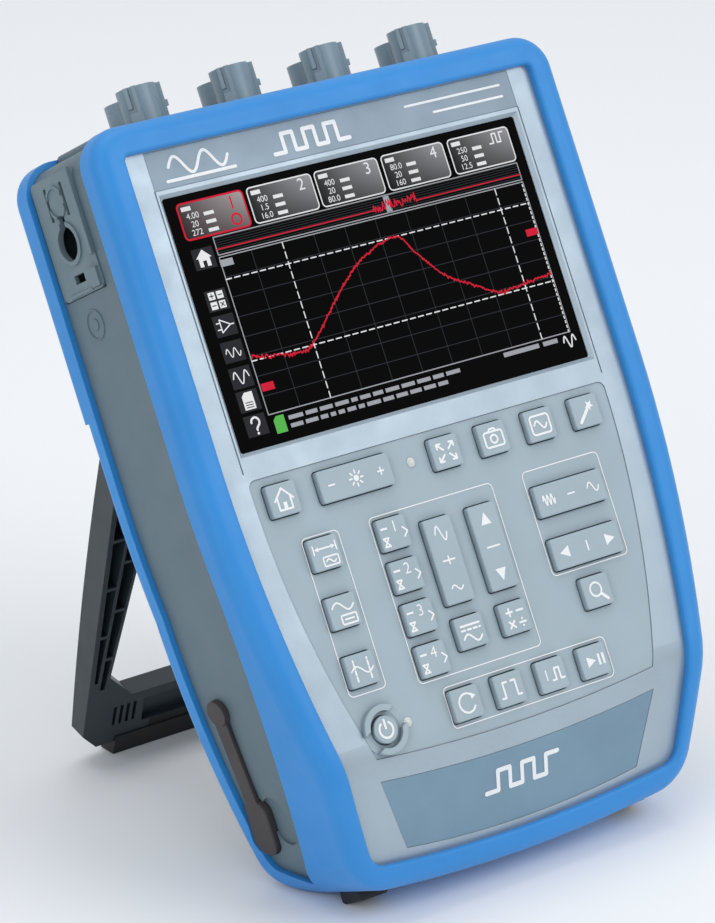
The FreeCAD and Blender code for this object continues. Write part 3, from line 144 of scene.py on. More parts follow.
def moulding(name, colour, rough=0.5, metal=0.0, grain=3000.0, bump=0.05, tone=0.06,
             edge=1.15, soft=0.0003, crevice_shade_strength=0.25, specular=0.5, coat=0.0, sheen=0.0,
             flecks=0.0, stretch=None):
    """A moulded, painted or plated surface with grain, uneven gloss, worn edges and painted shade
    in its crevices.
    """
    g = Graph(name)
    if stretch:
        g.where = g.add("ShaderNodeMapping", {"Vector": g.where, "Scale": stretch}).outputs[0]
    patches = g.spread(g.noise(TONE_SPOTS), 1.0 - tone, 1.0 + tone)
    fine = g.noise(grain, 2.0, 0.6)
    shaded = g.mix(1.0, colour, g.add("ShaderNodeCombineColor", {
        0: patches, 1: patches, 2: patches}).outputs[0], "MULTIPLY")
    if flecks:
        sparkle = g.spread(g.noise(grain * 1.7, 1.0), 0.0, flecks, 0.45, 0.75)
        shaded = g.mix(sparkle, shaded, lighter(colour, 1.5))
    rounded = g.add("ShaderNodeBevel", {"Radius": soft}, samples=EDGE_SAMPLES).outputs[0]
    flat = g.add("ShaderNodeNewGeometry").outputs["Normal"]
    turn = g.add("ShaderNodeVectorMath", {0: rounded, 1: flat}, operation="DOT_PRODUCT").outputs[1]
    wear = g.maths("MULTIPLY", g.spread(turn, 0.8, 0.0, 0.9, 0.995),
                   g.spread(g.noise(WEAR_SPOTS), 0.2, 1.0))
    shaded = g.mix(wear, shaded, lighter(colour, edge))
    # Painted shade: a darker copy of the colour in crevices, corners and between parts, where
    # shade falls, uneven in strength.
    crevice = g.add("ShaderNodeAmbientOcclusion", {"Distance": CREVICE_REACH},
                    samples=EDGE_SAMPLES).outputs["AO"]
    crevice_shade = g.maths("MULTIPLY", g.spread(crevice, crevice_shade_strength, 0.0, 0.2, 0.9),
                   g.spread(g.noise(SHADE_SPOTS), 0.6, 1.0))
    shaded = g.mix(crevice_shade, shaded, lighter(colour, 0.35))
    gloss = g.maths("ADD", g.spread(g.noise(GLOSS_SPOTS, 4.0), rough - 0.07, rough + 0.07),
                    g.spread(fine, -0.05, 0.05))
    relief = g.add("ShaderNodeBump", {"Strength": bump, "Distance": 0.0002, "Height": fine,
                                      "Normal": rounded}).outputs[0]
    skin = g.add("ShaderNodeBsdfPrincipled", {
        "Base Color": shaded, "Roughness": gloss, "Metallic": metal, "Normal": relief,
        "Specular IOR Level": specular, "Coat Weight": coat, "Coat Roughness": 0.25,
        "Sheen Weight": sheen})
    return g.out(skin.outputs[0])


PIXEL_GRAIN = 9000.0


def glowing(name, colour, strength):
    """A lit patch of the display, with its pixels' faint unevenness."""
    g = Graph(name)
    pixels = g.spread(g.noise(PIXEL_GRAIN, 1.0), strength * 0.88, strength * 1.06)
    wide = g.spread(g.noise(20.0), 0.94, 1.04)
    light = g.add("ShaderNodeEmission", {"Color": colour,
                                         "Strength": g.maths("MULTIPLY", pixels, wide)})
    return g.out(light.outputs[0])


def shaded_box(name, dark, bright, strength):
    """A lit patch that grows brighter towards its top right corner."""
    g = Graph(name)
    spot = g.add("ShaderNodeTexCoord").outputs["Generated"]
    x, _, z = g.add("ShaderNodeSeparateXYZ", {0: spot}).outputs
    across = g.maths("MULTIPLY", g.spread(x, 0.1, 1.0, 0.0, 1.0), g.spread(z, 0.35, 1.0, 0.0, 1.0))
    grain = g.spread(g.noise(PIXEL_GRAIN, 1.0), strength * 0.9, strength * 1.06)
    light = g.add("ShaderNodeEmission", {"Color": g.mix(across, dark, bright), "Strength": grain})
    return g.out(light.outputs[0])


def black_glass(name):
    """Cover glass over a dark display, with faint smears."""
    g = Graph(name)
    smear = g.spread(g.noise(22.0, 6.0, 0.7), 0.04, 0.14)
    tint = g.mix(g.noise(14.0), srgb(2, 2, 3), srgb(5, 5, 6))
    skin = g.add("ShaderNodeBsdfPrincipled", {"Base Color": tint, "Roughness": smear,
                                              "Specular IOR Level": 0.015})
    return g.out(skin.outputs[0])


def printed(name, colour, rough=0.5):
    """Silk-screen ink, slightly thin in places."""
    g = Graph(name)
    thin = g.spread(g.noise(1500.0, 3.0), 0.0, 0.16)
    tint = g.mix(thin, colour, lighter(colour, 0.7))
    relief = g.add("ShaderNodeBump", {"Strength": 0.1, "Distance": 0.0001,
                                      "Height": g.noise(5000.0)}).outputs[0]
    skin = g.add("ShaderNodeBsdfPrincipled", {
        "Base Color": tint, "Normal": relief,
        "Roughness": g.spread(g.noise(300.0), rough - 0.1, rough + 0.1)})
    return g.out(skin.outputs[0])


FINISHES = {
    "bumper_rubber": moulding("bumper_rubber", srgb(48, 137, 211), 0.46, grain=2600, bump=0.07,
                              tone=0.04, edge=1.2, soft=0.0006, specular=0.42, sheen=0.08),
    "panel_plastic": moulding("panel_plastic", srgb(163, 178, 189), 0.38, metal=0.45, grain=4200,
                              bump=0.05, tone=0.03, flecks=0.35, edge=1.15, specular=0.5),
    "shell_plastic": moulding("shell_plastic", srgb(97, 115, 124), 0.5, grain=3400, bump=0.1,
                              edge=1.25, soft=0.0005),
    "strap_plastic": moulding("strap_plastic", srgb(108, 126, 134), 0.48, grain=3400, bump=0.1,
                              edge=1.3, soft=0.0005),
    "socket_plastic": moulding("socket_plastic", srgb(124, 144, 156), 0.32, grain=3400,
                               bump=0.06, edge=1.3, soft=0.0005),
    "header_plastic": moulding("header_plastic", srgb(130, 147, 160), 0.4, metal=0.2, grain=4200,
                               bump=0.03, flecks=0.2),
    "name_plastic": moulding("name_plastic", srgb(118, 146, 165), 0.38, metal=0.2, grain=4200,
                             bump=0.03, flecks=0.2),
    # The keypad and its keys carry strong painted shade in the crevices round the keys.
    "keypad_rubber": moulding("keypad_rubber", srgb(160, 177, 186), 0.55, grain=3800, bump=0.05,
                              tone=0.03, soft=0.0004, crevice_shade_strength=0.95),
    "key_rubber": moulding("key_rubber", srgb(159, 176, 185), 0.5, grain=3800, bump=0.05,
                           tone=0.04, soft=0.0005, edge=1.2, crevice_shade_strength=0.9),
    "stand_plastic": moulding("stand_plastic", srgb(44, 54, 59), 0.4, grain=3000, bump=0.1,
                              edge=1.9, soft=0.0005),
    "foot_rubber": moulding("foot_rubber", srgb(30, 32, 34), 0.6, grain=2500, bump=0.12),
    "cover_rubber": moulding("cover_rubber", srgb(66, 61, 62), 0.55, grain=2500, bump=0.1,
                             soft=0.0006, edge=1.4),
    "lid_plastic": moulding("lid_plastic", srgb(92, 106, 113), 0.5, grain=3400, bump=0.1),
    "lens_plastic": moulding("lens_plastic", srgb(205, 210, 208), 0.2, grain=3000, bump=0.01,
                             coat=0.6),
    "jack_plastic": moulding("jack_plastic", srgb(26, 27, 29), 0.45),
    "display_plastic": moulding("display_plastic", srgb(22, 23, 26), 0.3),
    "bracket_metal": moulding("bracket_metal", srgb(190, 192, 194), 0.35, metal=0.9,
                              stretch=(1, 12, 1)),
    "shield_metal": moulding("shield_metal", srgb(196, 196, 194), 0.28, metal=1.0,
                             stretch=(1, 10, 1)),
    "screw_steel": moulding("screw_steel", srgb(160, 162, 164), 0.3, metal=1.0),
    "contact_brass": moulding("contact_brass", srgb(214, 180, 98), 0.25, metal=1.0),
    "board_laminate": moulding("board_laminate", srgb(22, 92, 58), 0.35, coat=0.3),
    "battery_wrap": moulding("battery_wrap", srgb(40, 52, 96), 0.35, coat=0.3),
    "screen_glass": black_glass("screen_glass"),
}
for part in frame["record"]["subparts"]:
    mesh = nodes[part["node"]].data
    mesh.materials.clear()
    mesh.materials.append(FINISHES[part["material_slot"]])

INK = printed("white_ink", srgb(238, 241, 243))
UI = {name: glowing("display_" + name, colour, strength) for name, colour, strength in (
    ("white", srgb(236, 238, 240), 0.95), ("red", srgb(214, 44, 64), 0.95),
    ("pale", srgb(168, 172, 178), 0.9), ("tile", srgb(52, 54, 58), 0.9),
    ("dim", srgb(58, 60, 64), 0.9), ("green", srgb(96, 190, 88), 0.9))}
UI["box"] = shaded_box("display_box", srgb(12, 12, 14), srgb(158, 160, 164), 0.9)
UI["active_box"] = shaded_box("display_active_box", srgb(44, 34, 36), srgb(176, 168, 170), 0.9)


# ---- Flat drawing: polygons in mm, laid on a surface --------------------------
def ring_points(u, v, radius, start=0.0, end=360.0, count=28):
    step = math.radians(end - start) / count
    first = math.radians(start)
    return [(u + radius * math.cos(first + step * i), v + radius * math.sin(first + step * i))
            for i in range(count + 1)]


def disc(u, v, radius):
    return ring_points(u, v, radius, 0, 360, 16)[:-1]


def slab(u, v, width, height):
    return [(u - width / 2, v - height / 2), (u + width / 2, v - height / 2),
            (u + width / 2, v + height / 2), (u - width / 2, v + height / 2)]


def rounded(u, v, width, height, radius):
    """Closed outline of a rounded rectangle."""
    points = []
    for i, (a, b) in enumerate(((1, 1), (-1, 1), (-1, -1), (1, -1))):
        cu, cv = u + a * (width / 2 - radius), v + b * (height / 2 - radius)
        points += ring_points(cu, cv, radius, 90 * i, 90 * i + 90, 5)
    return points + points[:1]


def finer(points, step):
    """The same line with no stretch longer than a step."""
    dense = [points[0]]
    for (a, b), (c, d) in zip(points, points[1:]):
        count = max(1, math.ceil(math.hypot(c - a, d - b) / step))
        dense += [(a + (c - a) * i / count, b + (d - b) * i / count)
                  for i in range(1, count + 1)]
    return dense


def stroke(points, width):
    """A line of even width: one four-sided piece per stretch, a small disc at each bend."""
    pieces = []
    for (a, b), (c, d) in zip(points, points[1:]):
        length = math.hypot(c - a, d - b)
        if length > 1e-6:
            nu, nv = (b - d) / length * width / 2, (c - a) / length * width / 2
            pieces.append([(a + nu, b + nv), (a - nu, b - nv), (c - nu, d - nv),
                           (c + nu, d + nv)])
    pieces += [ring_points(u, v, width / 2, 0, 360, 8)[:-1] for u, v in points]
    return pieces


def strokes(lines, width):
    return [piece for line in lines for piece in stroke(line, width)]


def dashes(start, end, dash, gap, width):
    """A dashed straight line."""
    length = math.hypot(end[0] - start[0], end[1] - start[1])
    du, dv = (end[0] - start[0]) / length, (end[1] - start[1]) / length
    pieces, s = [], 0.0
    while s < length:
        e = min(s + dash, length)
        pieces += stroke([(start[0] + du * s, start[1] + dv * s),
                          (start[0] + du * e, start[1] + dv * e)], width)
        s += dash + gap
    return pieces


def wave(u, v, width, height, cycles=1.0, count=24):
    """A sine line centred at u, v."""
    return [(u - width / 2 + width * i / count,
             v + height / 2 * math.sin(2 * math.pi * cycles * i / count))
            for i in range(count + 1)]


def number(text, u, v, height):
    """The outline of a number, centred at u, v."""
    curve = bpy.data.curves.new("number", "FONT")
    curve.body = text
    curve.size = height * 1.38
    curve.align_x = "CENTER"
    curve.align_y = "CENTER"
    holder = bpy.data.objects.new("number", curve)
    bpy.context.scene.collection.objects.link(holder)
    mesh = bpy.data.meshes.new_from_object(
        holder.evaluated_get(bpy.context.evaluated_depsgraph_get()))
    pieces = [[(u + mesh.vertices[i].co.x, v + mesh.vertices[i].co.y) for i in p.vertices]
              for p in mesh.polygons]
    bpy.data.objects.remove(holder)
    bpy.data.curves.remove(curve)
    bpy.data.meshes.remove(mesh)
    return pieces


def shifted(pieces, u, v):
    return [[(a + u, b + v) for a, b in piece] for piece in pieces]


INK_STEP, INK_LEVELS = 0.000001, 41  # Metres between neighbouring pieces of ink


def lay(name, pieces, place, material, body="case"):
    """Build polygons on a surface as one piece that rides on a body."""
    points, faces = [], []
    for i, piece in enumerate(pieces):
        # No two neighbours share a plane, so ink doesn't shade itself.
        lift = TURN @ Vector((0, INK_STEP * (i % INK_LEVELS), 0)) if material is INK else Vector()
        faces.append(range(len(points), len(points) + len(piece)))
        points += [place(u, v) - lift for u, v in piece]
    mesh = bpy.data.meshes.new(name)
    mesh.from_pydata(points, [], faces)
    mesh.materials.append(material)
    piece = bpy.data.objects.new(name, mesh)
    bpy.context.scene.collection.objects.link(piece)
    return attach(piece, body)


# ---- Symbols on the keys ------------------------------------------------------
LINE = 0.7
KEY_MARK = 1.18      # Scale of the marks on the small keys
SMALL_KEY = 20.0     # Longest side of a small key
KEY_INK = 0.06       # Height of the ink above a key


def arrow_head(u, v, size, angle):
    a = math.radians(angle)
    corners = ((size, 0), (-size * 0.6, size * 0.8), (-size * 0.6, -size * 0.8))
    return [(u + x * math.cos(a) - y * math.sin(a), v + x * math.sin(a) + y * math.cos(a))
            for x, y in corners]


def pulse(u, v, width, height, cycles=1.5):
    """A square wave line."""
    points, step = [], width / (2 * cycles)
    for i in range(int(2 * cycles)):
        level = v + (height / 2 if i % 2 else -height / 2)
        points += [(u - width / 2 + step * i, level), (u - width / 2 + step * (i + 1), level)]
    return points


def chevron(u, v, size):
    return [(u - size / 2, v + size), (u + size / 2, v), (u - size / 2, v - size)]


def hourglass(u, v, size):
    return [[(u - size, v + size * 1.3), (u + size, v + size * 1.3), (u - size, v - size * 1.3),
             (u + size, v - size * 1.3), (u - size, v + size * 1.3)]]


def symbol_home():
    return strokes([[(-3.4, -0.2), (0, 3.4), (3.4, -0.2)],
                    [(-2.4, 0.6), (-2.4, -3.2), (2.4, -3.2), (2.4, 0.6)]], LINE) \
        + [slab(0, -2.0, 1.4, 2.2)]


def symbol_brightness():
    rays = [[(1.9 * math.cos(a), 1.9 * math.sin(a)), (3.0 * math.cos(a), 3.0 * math.sin(a))]
            for a in (math.pi / 4 * i for i in range(8))]
    marks = [[(-12.4, 0), (-9.8, 0)], [(9.8, 0), (12.4, 0)], [(11.1, -1.3), (11.1, 1.3)]]
    return strokes(rays + marks, LINE) + [disc(0, 0, 1.2)]


def symbol_full_screen():
    lines = []
    for a in (-1, 1):
        for b in (-1, 1):
            lines += [[(a * 1.0, b * 0.8), (a * 3.2, b * 2.8)],
                      [(a * 1.7, b * 2.8), (a * 3.2, b * 2.8), (a * 3.2, b * 1.4)]]
    return strokes(lines, LINE)


def symbol_snapshot():
    return strokes([rounded(0, -0.3, 7.2, 4.8, 0.8), ring_points(0, -0.3, 1.3),
                    [(-1.4, 2.3), (-0.9, 3.0), (0.9, 3.0), (1.4, 2.3)]], LINE)


def symbol_display():
    return strokes([rounded(0, 0, 7.4, 6.0, 1.0), wave(0, 0, 5.0, 2.6)], LINE)


def symbol_auto_set():
    spark = [(1.6 + r * math.cos(a), 1.6 + r * math.sin(a)) for r, a in
             ((1.9 if i % 2 else 0.8, math.pi / 5 * i + 0.3) for i in range(10))]
    return strokes([[(-3.2, -3.2), (0.6, 0.6)]], LINE * 1.6) + [spark]


def symbol_measure():
    return strokes([[(-4.2, 2.9), (-4.2, 0.3)], [(4.2, 2.9), (4.2, 0.3)],
                    [(-2.6, 1.6), (2.6, 1.6)], rounded(1.2, -2.6, 5.6, 2.8, 0.4),
                    wave(1.2, -2.6, 3.6, 1.2)], LINE * 0.8) \
        + [arrow_head(3.0, 1.6, 1.0, 0), arrow_head(-3.0, 1.6, 1.0, 180)]


def symbol_reference():
    return strokes([wave(0, 1.6, 8.0, 2.8), rounded(1.2, -2.6, 5.6, 2.8, 0.4),
                    [(-0.4, -2.6), (2.8, -2.6)]], LINE * 0.9)


def symbol_cursors():
    uprights = [piece for u in (-2.6, 2.6)
                for piece in dashes((u, -3.2), (u, 3.2), 1.3, 0.7, LINE)]
    return uprights + strokes([wave(0, 0, 8.2, 2.6)], LINE * 0.8)


def symbol_channel(index):
    return number(str(index), 0.6, 1.9, 3.7) + strokes(
        [chevron(4.2, -0.4, 1.5)] + hourglass(-3.6, -2.3, 1.0), LINE * 0.85) \
        + [slab(-3.4, 2.0, 2.6, 0.7)]


def symbol_amplitude():
    return strokes([wave(0, 10.2, 5.2, 5.6), wave(0, -10.4, 5.2, 2.0),
                    [(-2.6, 0), (2.6, 0)], [(0, 1.4), (0, -1.4)]], LINE)


def symbol_level():
    return strokes([[(-2.8, 0), (2.8, 0)]], LINE) \
        + [arrow_head(0, 10.2, 3.0, 90), arrow_head(0, -10.2, 3.0, -90)]


def symbol_coupling():
    return strokes([[(-3.6, 2.2), (3.6, 2.2)], wave(0, -1.9, 7.0, 2.6)], LINE) \
        + dashes((-3.6, 0.8), (3.6, 0.8), 1.4, 0.9, LINE)


def symbol_maths():
    lines = [[(-3.2, 1.9), (-0.8, 1.9)], [(-2.0, 0.7), (-2.0, 3.1)], [(0.9, 1.9), (3.3, 1.9)],
             [(-3.0, -3.0), (-1.0, -1.0)], [(-3.0, -1.0), (-1.0, -3.0)],
             [(0.9, -2.0), (3.3, -2.0)]]
    return strokes(lines, LINE) + [disc(2.1, -0.9, 0.4), disc(2.1, -3.1, 0.4)]


def symbol_timebase():
    return strokes([wave(-10.6, 0, 5.4, 3.8, 3, 48), wave(10.6, 0, 5.4, 3.8, 1),
                    [(-1.6, 0), (1.6, 0)]], LINE * 0.9)


def symbol_time_shift():
    return [arrow_head(-10.4, 0, 2.8, 180), arrow_head(10.4, 0, 2.8, 0)] \
        + strokes([[(0, -1.8), (0, 1.8)]], LINE)


def symbol_zoom():
    return strokes([ring_points(-0.6, 0.6, 2.2)], LINE) \
        + strokes([[(1.2, -1.2), (3.2, -3.2)]], LINE * 1.5)


def symbol_trigger_auto():
    return strokes([ring_points(0, 0, 3.0, 40, 330)], LINE) + [arrow_head(2.5, 1.9, 1.3, 120)]


def symbol_slope():
    return strokes([[(-3.8, -2.4), (-2.4, -2.4), (-2.4, 2.4), (-0.8, 2.4)],
                    [(0.8, 2.4), (2.4, 2.4), (2.4, -2.4), (3.8, -2.4)]], LINE)


def symbol_single():
    return number("1", -2.4, 0, 3.6) + strokes(
        [[(-0.4, -1.8), (1.0, -1.8), (1.0, 1.8), (2.8, 1.8), (2.8, -1.8), (4.2, -1.8)]], LINE)


def symbol_run():
    return [arrow_head(-1.6, 0, 2.2, 0), slab(1.9, 0, 0.9, 3.6), slab(3.6, 0, 0.9, 3.6)]


def symbol_power():
    return strokes([ring_points(0, -0.1, 2.5, 125, 415), [(0, 0.4), (0, 3.0)]], LINE * 1.15)


SYMBOLS = {
    "home": symbol_home,
    "brightness": symbol_brightness,
    "full_screen": symbol_full_screen,
    "snapshot": symbol_snapshot,
    "display": symbol_display,
    "auto_set": symbol_auto_set,
    "measure": symbol_measure,
    "reference": symbol_reference,
    "cursors": symbol_cursors,
    "amplitude": symbol_amplitude,
    "level": symbol_level,
    "coupling": symbol_coupling,
    "maths": symbol_maths,
    "timebase": symbol_timebase,
    "time_shift": symbol_time_shift,
    "zoom": symbol_zoom,
    "trigger_auto": symbol_trigger_auto,
    "slope": symbol_slope,
    "single": symbol_single,
    "run": symbol_run,
    "power": symbol_power,
}

for name in sorted(nodes):
    if name.startswith("key_"):
        (x0, y0, z0), (x1, y1, z1) = case_box(name)
        cx, cz = (x0 + x1) / 2, (z0 + z1) / 2
        label = name[4:]
        marks = symbol_channel(int(label[-1])) if label.startswith("channel") \
            else SYMBOLS[label]()
        size = KEY_MARK if max(x1 - x0, z1 - z0) < SMALL_KEY else 1.0
        lay(name + "_symbol", marks,
            lambda u, v, y=y0 - KEY_INK, a=cx, b=cz, k=size: at(a + k * u, y, b + k * v),
            INK, name)


# ---- Printing on the keypad, the header and the name plate --------------------
MAT_INK, HEADER_INK, NAME_INK = 0.22, -0.03, 0.05  # Depth of the ink behind the panel's face


def on_panel(depth):
    return lambda u, v: at(u, face_y(v, depth), v)


frames = [(-60.3, -112.8, 16.4, 59.4), (-9.6, -114.2, 57.0, 62.8), (51.6, -102.9, 36.4, 40.2),
          (8.8, -157.2, 76.2, 15.4)]
outlines = [finer(rounded(u, v, w, h, 2.0), 2.0) for u, v, w, h in frames]
lay("group_lines", strokes(outlines, 0.45), on_panel(MAT_INK), INK)
lay("header_mark", strokes([wave(-62, 58.4, 26, 7.0, 2, 60), [(-77, 53.4), (-47, 53.4)]], 1.2)
    + strokes([pulse(-12, 57.6, 34, 7.0, 3.5)], 1.6)
    + strokes([[(33, 60.4), (78, 60.4)], [(45, 56.0), (78, 56.0)]], 0.9),
    on_panel(HEADER_INK), INK)
lay("name_mark", strokes([finer(pulse(0, -188, 34, 7, 3), 1.0)], 1.7),
    on_panel(NAME_INK), INK)


# ---- What the display shows ---------------------------------------------------
SCREEN_SHIFT = 1.0
FIRST_LAYER, LAYER_STEP = 0.02, 0.012


def on_screen(layer):
    return lambda u, v: at(u + SCREEN_SHIFT, GLASS_FRONT - FIRST_LAYER - LAYER_STEP * layer, v)


def flowing(points, step):
    """A smooth curve through every point, in short steps."""
    padded = points[:1] + points + points[-1:]
    curve = []
    for p, q, r, s in zip(padded, padded[1:], padded[2:], padded[3:]):
        count = max(2, int(math.hypot(r[0] - q[0], r[1] - q[1]) / step))
        for i in range(count):
            t = i / count
            curve.append(tuple(0.5 * (2 * q[k] + (r[k] - p[k]) * t
                                      + (2 * p[k] - 5 * q[k] + 4 * r[k] - s[k]) * t ** 2
                                      + (3 * q[k] - p[k] - 3 * r[k] + s[k]) * t ** 3)
                               for k in (0, 1)))
    return curve


def show(name, pieces, colour, layer):
    lay("display_" + name, pieces, on_screen(layer), UI[colour])


BOX_LEFT = (-76.6, -45.7, -15.2, 15.7, 47.0)
BOX_W, BOX_H, BOX_V = 28.8, 13.4, 38.0
GRAPH_LEFT, GRAPH_RIGHT, GRAPH_TOP, GRAPH_LOW = -65.5, 75.4, 22.7, -36.7
GRID_W, GRID_H = 14.1, 7.5
STRIP_TOP, STRIP_LOW = 30.3, 23.6

boxes = [rounded(left + BOX_W / 2, BOX_V, BOX_W, BOX_H, 1.6) for left in BOX_LEFT]
for index, outline in enumerate(boxes):
    show(f"box_fill_{index + 1}", [outline[:-1]], "box" if index else "active_box", 0)
show("box_active", strokes(boxes[:1], 0.7), "red", 1)
show("box_edges", strokes(boxes[1:], 0.5), "white", 1)
readings = (("4.00", "20", "272"), ("400", "1.5", "16.0"), ("400", "20", "80.0"),
            ("80.0", "20", "160"), ("250", "50", "12.5"))
figures = []
for left, values in zip(BOX_LEFT, readings):
    figures += [slab(left + 3.6, BOX_V + 4.6, 4.2, 1.6)]
    for row, text in enumerate(values):
        figures += number(text, left + 5.6, BOX_V + 1.6 - 3.1 * row, 2.3)
        figures += [slab(left + 12.6, BOX_V + 1.4 - 3.1 * row, 4.4, 1.3)]
show("figures", figures, "white", 2)
names = []
for index, left in enumerate(BOX_LEFT[1:4]):
    names += number(str(index + 2), left + BOX_W - 5.0, BOX_V + 3.4, 4.6)
show("channel_names", names, "white", 2)
show("channel_one", number("1", BOX_LEFT[0] + BOX_W - 5.6, BOX_V + 2.8, 5.0)
     + strokes([ring_points(BOX_LEFT[0] + BOX_W - 5.4, BOX_V - 3.2, 2.0)], 0.8), "red", 2)
show("time_name", strokes([pulse(BOX_LEFT[4] + BOX_W - 6.2, BOX_V + 3.4, 7.0, 3.6, 2)], 0.6),
     "white", 2)

strip_lines = [[(GRAPH_LEFT, STRIP_LOW + 0.9 * i), (GRAPH_RIGHT, STRIP_LOW + 0.9 * i)]
               for i in range(8)]
show("strip_lines", strokes(strip_lines, 0.25), "dim", 0)
borders = [[(GRAPH_LEFT, low_v), (GRAPH_RIGHT, low_v), (GRAPH_RIGHT, high_v),
            (GRAPH_LEFT, high_v), (GRAPH_LEFT, low_v)]
           for low_v, high_v in ((STRIP_LOW, STRIP_TOP), (GRAPH_LOW, GRAPH_TOP))]
show("borders", strokes(borders, 0.4), "pale", 1)
random.seed(7)
BURST_START, BURST_STEP, BURST_COUNT, STRIP_LEVEL = 5.2, 0.4, 52, 25.7
burst = [(BURST_START + BURST_STEP * i, STRIP_LEVEL + 0.5 + random.uniform(-1.5, 2.6))
         for i in range(BURST_COUNT)]
show("strip_trace", strokes([[(GRAPH_LEFT, STRIP_LEVEL), (BURST_START, STRIP_LEVEL)] + burst
                             + [(26.0, STRIP_LEVEL), (GRAPH_RIGHT, STRIP_LEVEL)]], 0.45),
     "red", 2)
show("strip_marker", [slab(12.6, (STRIP_TOP + STRIP_LOW) / 2, 2.6, 6.0)], "pale", 1)

columns = [GRAPH_LEFT + GRID_W * i for i in range(1, 10)]
rows = [GRAPH_TOP - GRID_H * i for i in range(1, 8)]
grid = [[(u, GRAPH_LOW), (u, GRAPH_TOP)] for u in columns]
grid += [[(GRAPH_LEFT, v), (GRAPH_RIGHT, v)] for v in rows]
show("grid", strokes(grid, 0.28), "dim", 0)
cursor_lines = []
for v in (14.4, -16.5):
    cursor_lines += dashes((GRAPH_LEFT, v), (GRAPH_RIGHT, v), 2.4, 1.4, 0.45)
for u in (-37.5, 61.8):
    cursor_lines += dashes((u, GRAPH_LOW), (u, GRAPH_TOP), 2.4, 1.4, 0.45)
cursor_lines += dashes((GRAPH_RIGHT - 0.6, GRAPH_LOW), (GRAPH_RIGHT - 0.6, GRAPH_TOP), 0.8, 1.0,
                       0.5)
show("cursors", cursor_lines, "white", 1)

TRACE = [(-64.9, -14.8), (-45.3, -17.9), (-37.1, -15.5), (-20.6, -1.0), (-6.2, 9.3),
         (11.3, 14.4), (18.5, 6.2), (27.8, -4.1), (39.1, -10.3), (51.5, -15.5), (75.0, -13.4)]
trace = [(u, v + random.gauss(0, 0.42 if u < -37 or u > 38 else 0.25))
         for u, v in flowing(TRACE, 0.4)]
show("trace", strokes([trace], 0.55), "red", 3)
show("trace_tags", [slab(-62.1, -26.7, 5.6, 2.9), slab(72.4, 3.4, 5.6, 2.7)], "red", 3)
show("top_tag", [slab(-63.0, 20.4, 5.7, 2.6)], "pale", 3)

ICON_U, ICON_W = -71.8, 9.2
icon_v = (23.7, 8.0, -1.5, -11.3, -21.1, -29.9, -39.1)
show("tiles", [slab(ICON_U, v, ICON_W, 7.8) for v in icon_v], "tile", 0)
home = [(-3.4, 0.2), (0, 3.4), (3.4, 0.2), (2.4, 0.2), (2.4, -3.0), (0.8, -3.0), (0.8, -0.8),
        (-0.8, -0.8), (-0.8, -3.0), (-2.4, -3.0), (-2.4, 0.2)]
icons = shifted([home], ICON_U, icon_v[0])
icons += shifted([slab(a, b, 2.8, 2.8) for a in (-1.8, 1.8) for b in (-1.8, 1.8)],
                 ICON_U, icon_v[1])
icons += shifted(strokes([[(-3.4, 1.2), (-1.8, 1.2)], [(-3.4, -1.2), (-1.8, -1.2)],
                          [(-1.8, 2.4), (-1.8, -2.4), (2.4, 0), (-1.8, 2.4)],
                          [(2.4, 0), (3.8, 0)]], 0.45), ICON_U, icon_v[2])
icons += shifted(strokes([wave(0, -0.4, 6.4, 3.2, 2, 40)], 0.4), ICON_U, icon_v[3])
icons += shifted(strokes([wave(0, 0, 6.8, 4.6, 1.5, 40)], 0.5), ICON_U, icon_v[4])
card = [(-2.4, -3.2), (2.4, -3.2), (2.4, 3.2), (-1.0, 3.2), (-2.4, 1.8)]
icons += shifted([card], ICON_U, icon_v[5])
icons += shifted(strokes([ring_points(0, 1.2, 1.7, -60, 180), [(0.85, -0.3), (0, -1.2),
                                                              (0, -1.8)]], 0.8)
                 + [disc(0, -3.0, 0.5)], ICON_U, icon_v[6])
show("icons", icons, "white", 2)
signs = strokes([[(-2.6, 1.8), (-1.0, 1.8)], [(-1.8, 1.0), (-1.8, 2.6)], [(1.0, 1.8), (2.6, 1.8)],
                 [(-2.6, -1.8), (-1.0, -1.8)], [(1.1, -1.1), (2.5, -2.5)],
                 [(1.1, -2.5), (2.5, -1.1)]], 0.4)
card_lines = strokes([[(-1.5, v), (1.5, v)] for v in (-2.4, -1.5, -0.6)], 0.35)
show("icon_cuts", shifted(signs, ICON_U, icon_v[1]) + shifted(card_lines, ICON_U, icon_v[5]),
     "tile", 3)
show("status_card", shifted([card], -61.8, -41.0), "green", 1)
STATUS_LEFT, WORD_GAP = -57.6, 1.2
status = []
for v, length in ((-39.6, 79.0), (-42.6, 70.0)):
    u = STATUS_LEFT
    while u < STATUS_LEFT + length:
        word = random.uniform(2.2, 7.0)
        status.append(slab(u + word / 2, v, word, 1.5))
        u += word + WORD_GAP
status += [slab(51.0, -38.7, 17.0, 1.7), slab(65.0, -38.7, 7.0, 1.7)]
show("status_lines", status, "pale", 1)
show("status_wave", strokes([wave(74.0, -40.2, 5.8, 4.4, 1.5, 40)], 0.6), "white", 1)


# ---- Stage, light and camera --------------------------------------------------
def plain(name, colour, rough):
    g = Graph(name)
    tint = g.mix(g.noise(3.0), colour, lighter(colour, 0.985))
    skin = g.add("ShaderNodeBsdfPrincipled", {"Base Color": tint, "Roughness": rough,
                                              "Specular IOR Level": 0.1})
    return g.out(skin.outputs[0])


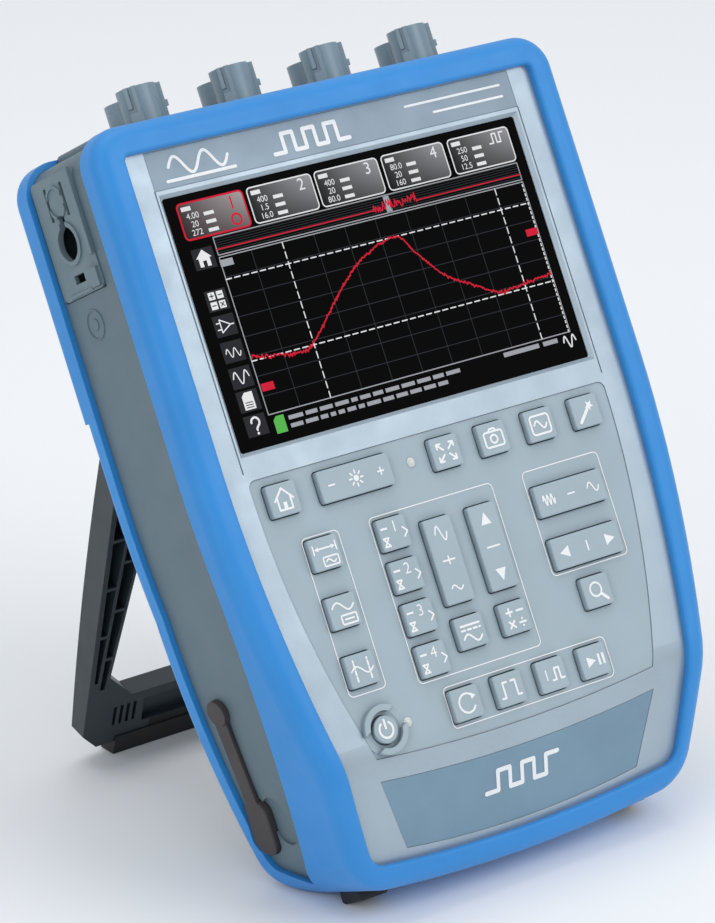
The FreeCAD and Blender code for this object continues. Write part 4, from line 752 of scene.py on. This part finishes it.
def sweep(near=-6.0, far=3.0, bend=1.5, top=8.0, half_width=9.0, gap=0.0002, steps=16):
    """Floor that curves up into a backdrop."""
    profile = [(near, 0.0), (far, 0.0)]
    profile += [(far + bend * math.sin(a), bend - bend * math.cos(a))
                for a in (math.pi / 2 * i / steps for i in range(1, steps + 1))]
    profile.append((far + bend, top))
    points = [(x, y, z - gap) for y, z in profile for x in (-half_width, half_width)]
    faces = [(2 * i, 2 * i + 1, 2 * i + 3, 2 * i + 2) for i in range(len(profile) - 1)]
    mesh = bpy.data.meshes.new("floor")
    mesh.from_pydata(points, [], faces)
    mesh.polygons.foreach_set("use_smooth", [True] * len(mesh.polygons))
    mesh.materials.append(plain("pale_floor", srgb(247, 248, 249), 0.7))
    floor = bpy.data.objects.new("floor", mesh)
    bpy.context.scene.collection.objects.link(floor)


sweep()


def soft_light(name, place, aim, size, power, tint=(1, 1, 1)):
    light = bpy.data.lights.new(name, "AREA")
    light.shape = "RECTANGLE"
    light.size, light.size_y = size
    light.energy = power
    light.color = tint
    holder = bpy.data.objects.new(name, light)
    bpy.context.scene.collection.objects.link(holder)
    holder.location = place
    holder.rotation_euler = (Vector(aim) - Vector(place)).to_track_quat("-Z", "Y").to_euler()


middle = Vector((0, 0, 0.14))
soft_light("key_light", (0.9, -1.5, 1.6), middle, (1.4, 1.4), 14)
soft_light("side_light", (-1.6, -0.6, 0.9), middle, (1.0, 1.4), 5)
soft_light("top_light", (0.0, 0.5, 1.9), middle, (1.6, 1.2), 9)

SKY_TINT, SKY_STRENGTH = (0.93, 0.96, 1.0, 1), 0.66
world = bpy.data.worlds.new("studio")
bpy.context.scene.world = world
world.use_nodes = True
sky = world.node_tree.nodes["Background"]
sky.inputs[0].default_value = SKY_TINT
sky.inputs[1].default_value = SKY_STRENGTH

SENSOR, LENS = 36, 167.83
AZIMUTH, ELEVATION = math.radians(-37.212), math.radians(22.338)
DISTANCE, ACROSS, UPWARDS = 1.5819, 0.00936, 0.0669
away = Vector((math.sin(AZIMUTH) * math.cos(ELEVATION), -math.cos(AZIMUTH) * math.cos(ELEVATION),
               math.sin(ELEVATION)))
right = Vector((math.cos(AZIMUTH), math.sin(AZIMUTH), 0))
up = away.cross(right)
camera = bpy.data.cameras.new("camera")
camera.sensor_fit = "VERTICAL"
camera.sensor_height = SENSOR
camera.lens = LENS
camera.clip_start, camera.clip_end = 0.05, 60
eye = bpy.data.objects.new("camera", camera)
bpy.context.scene.collection.objects.link(eye)
eye.matrix_world = Matrix.Translation(ORIGIN + away * DISTANCE - right * ACROSS - up * UPWARDS) \
    @ Matrix((right, up, away)).transposed().to_4x4()
bpy.context.scene.camera = eye
bpy.context.scene.view_settings.view_transform = "Standard"
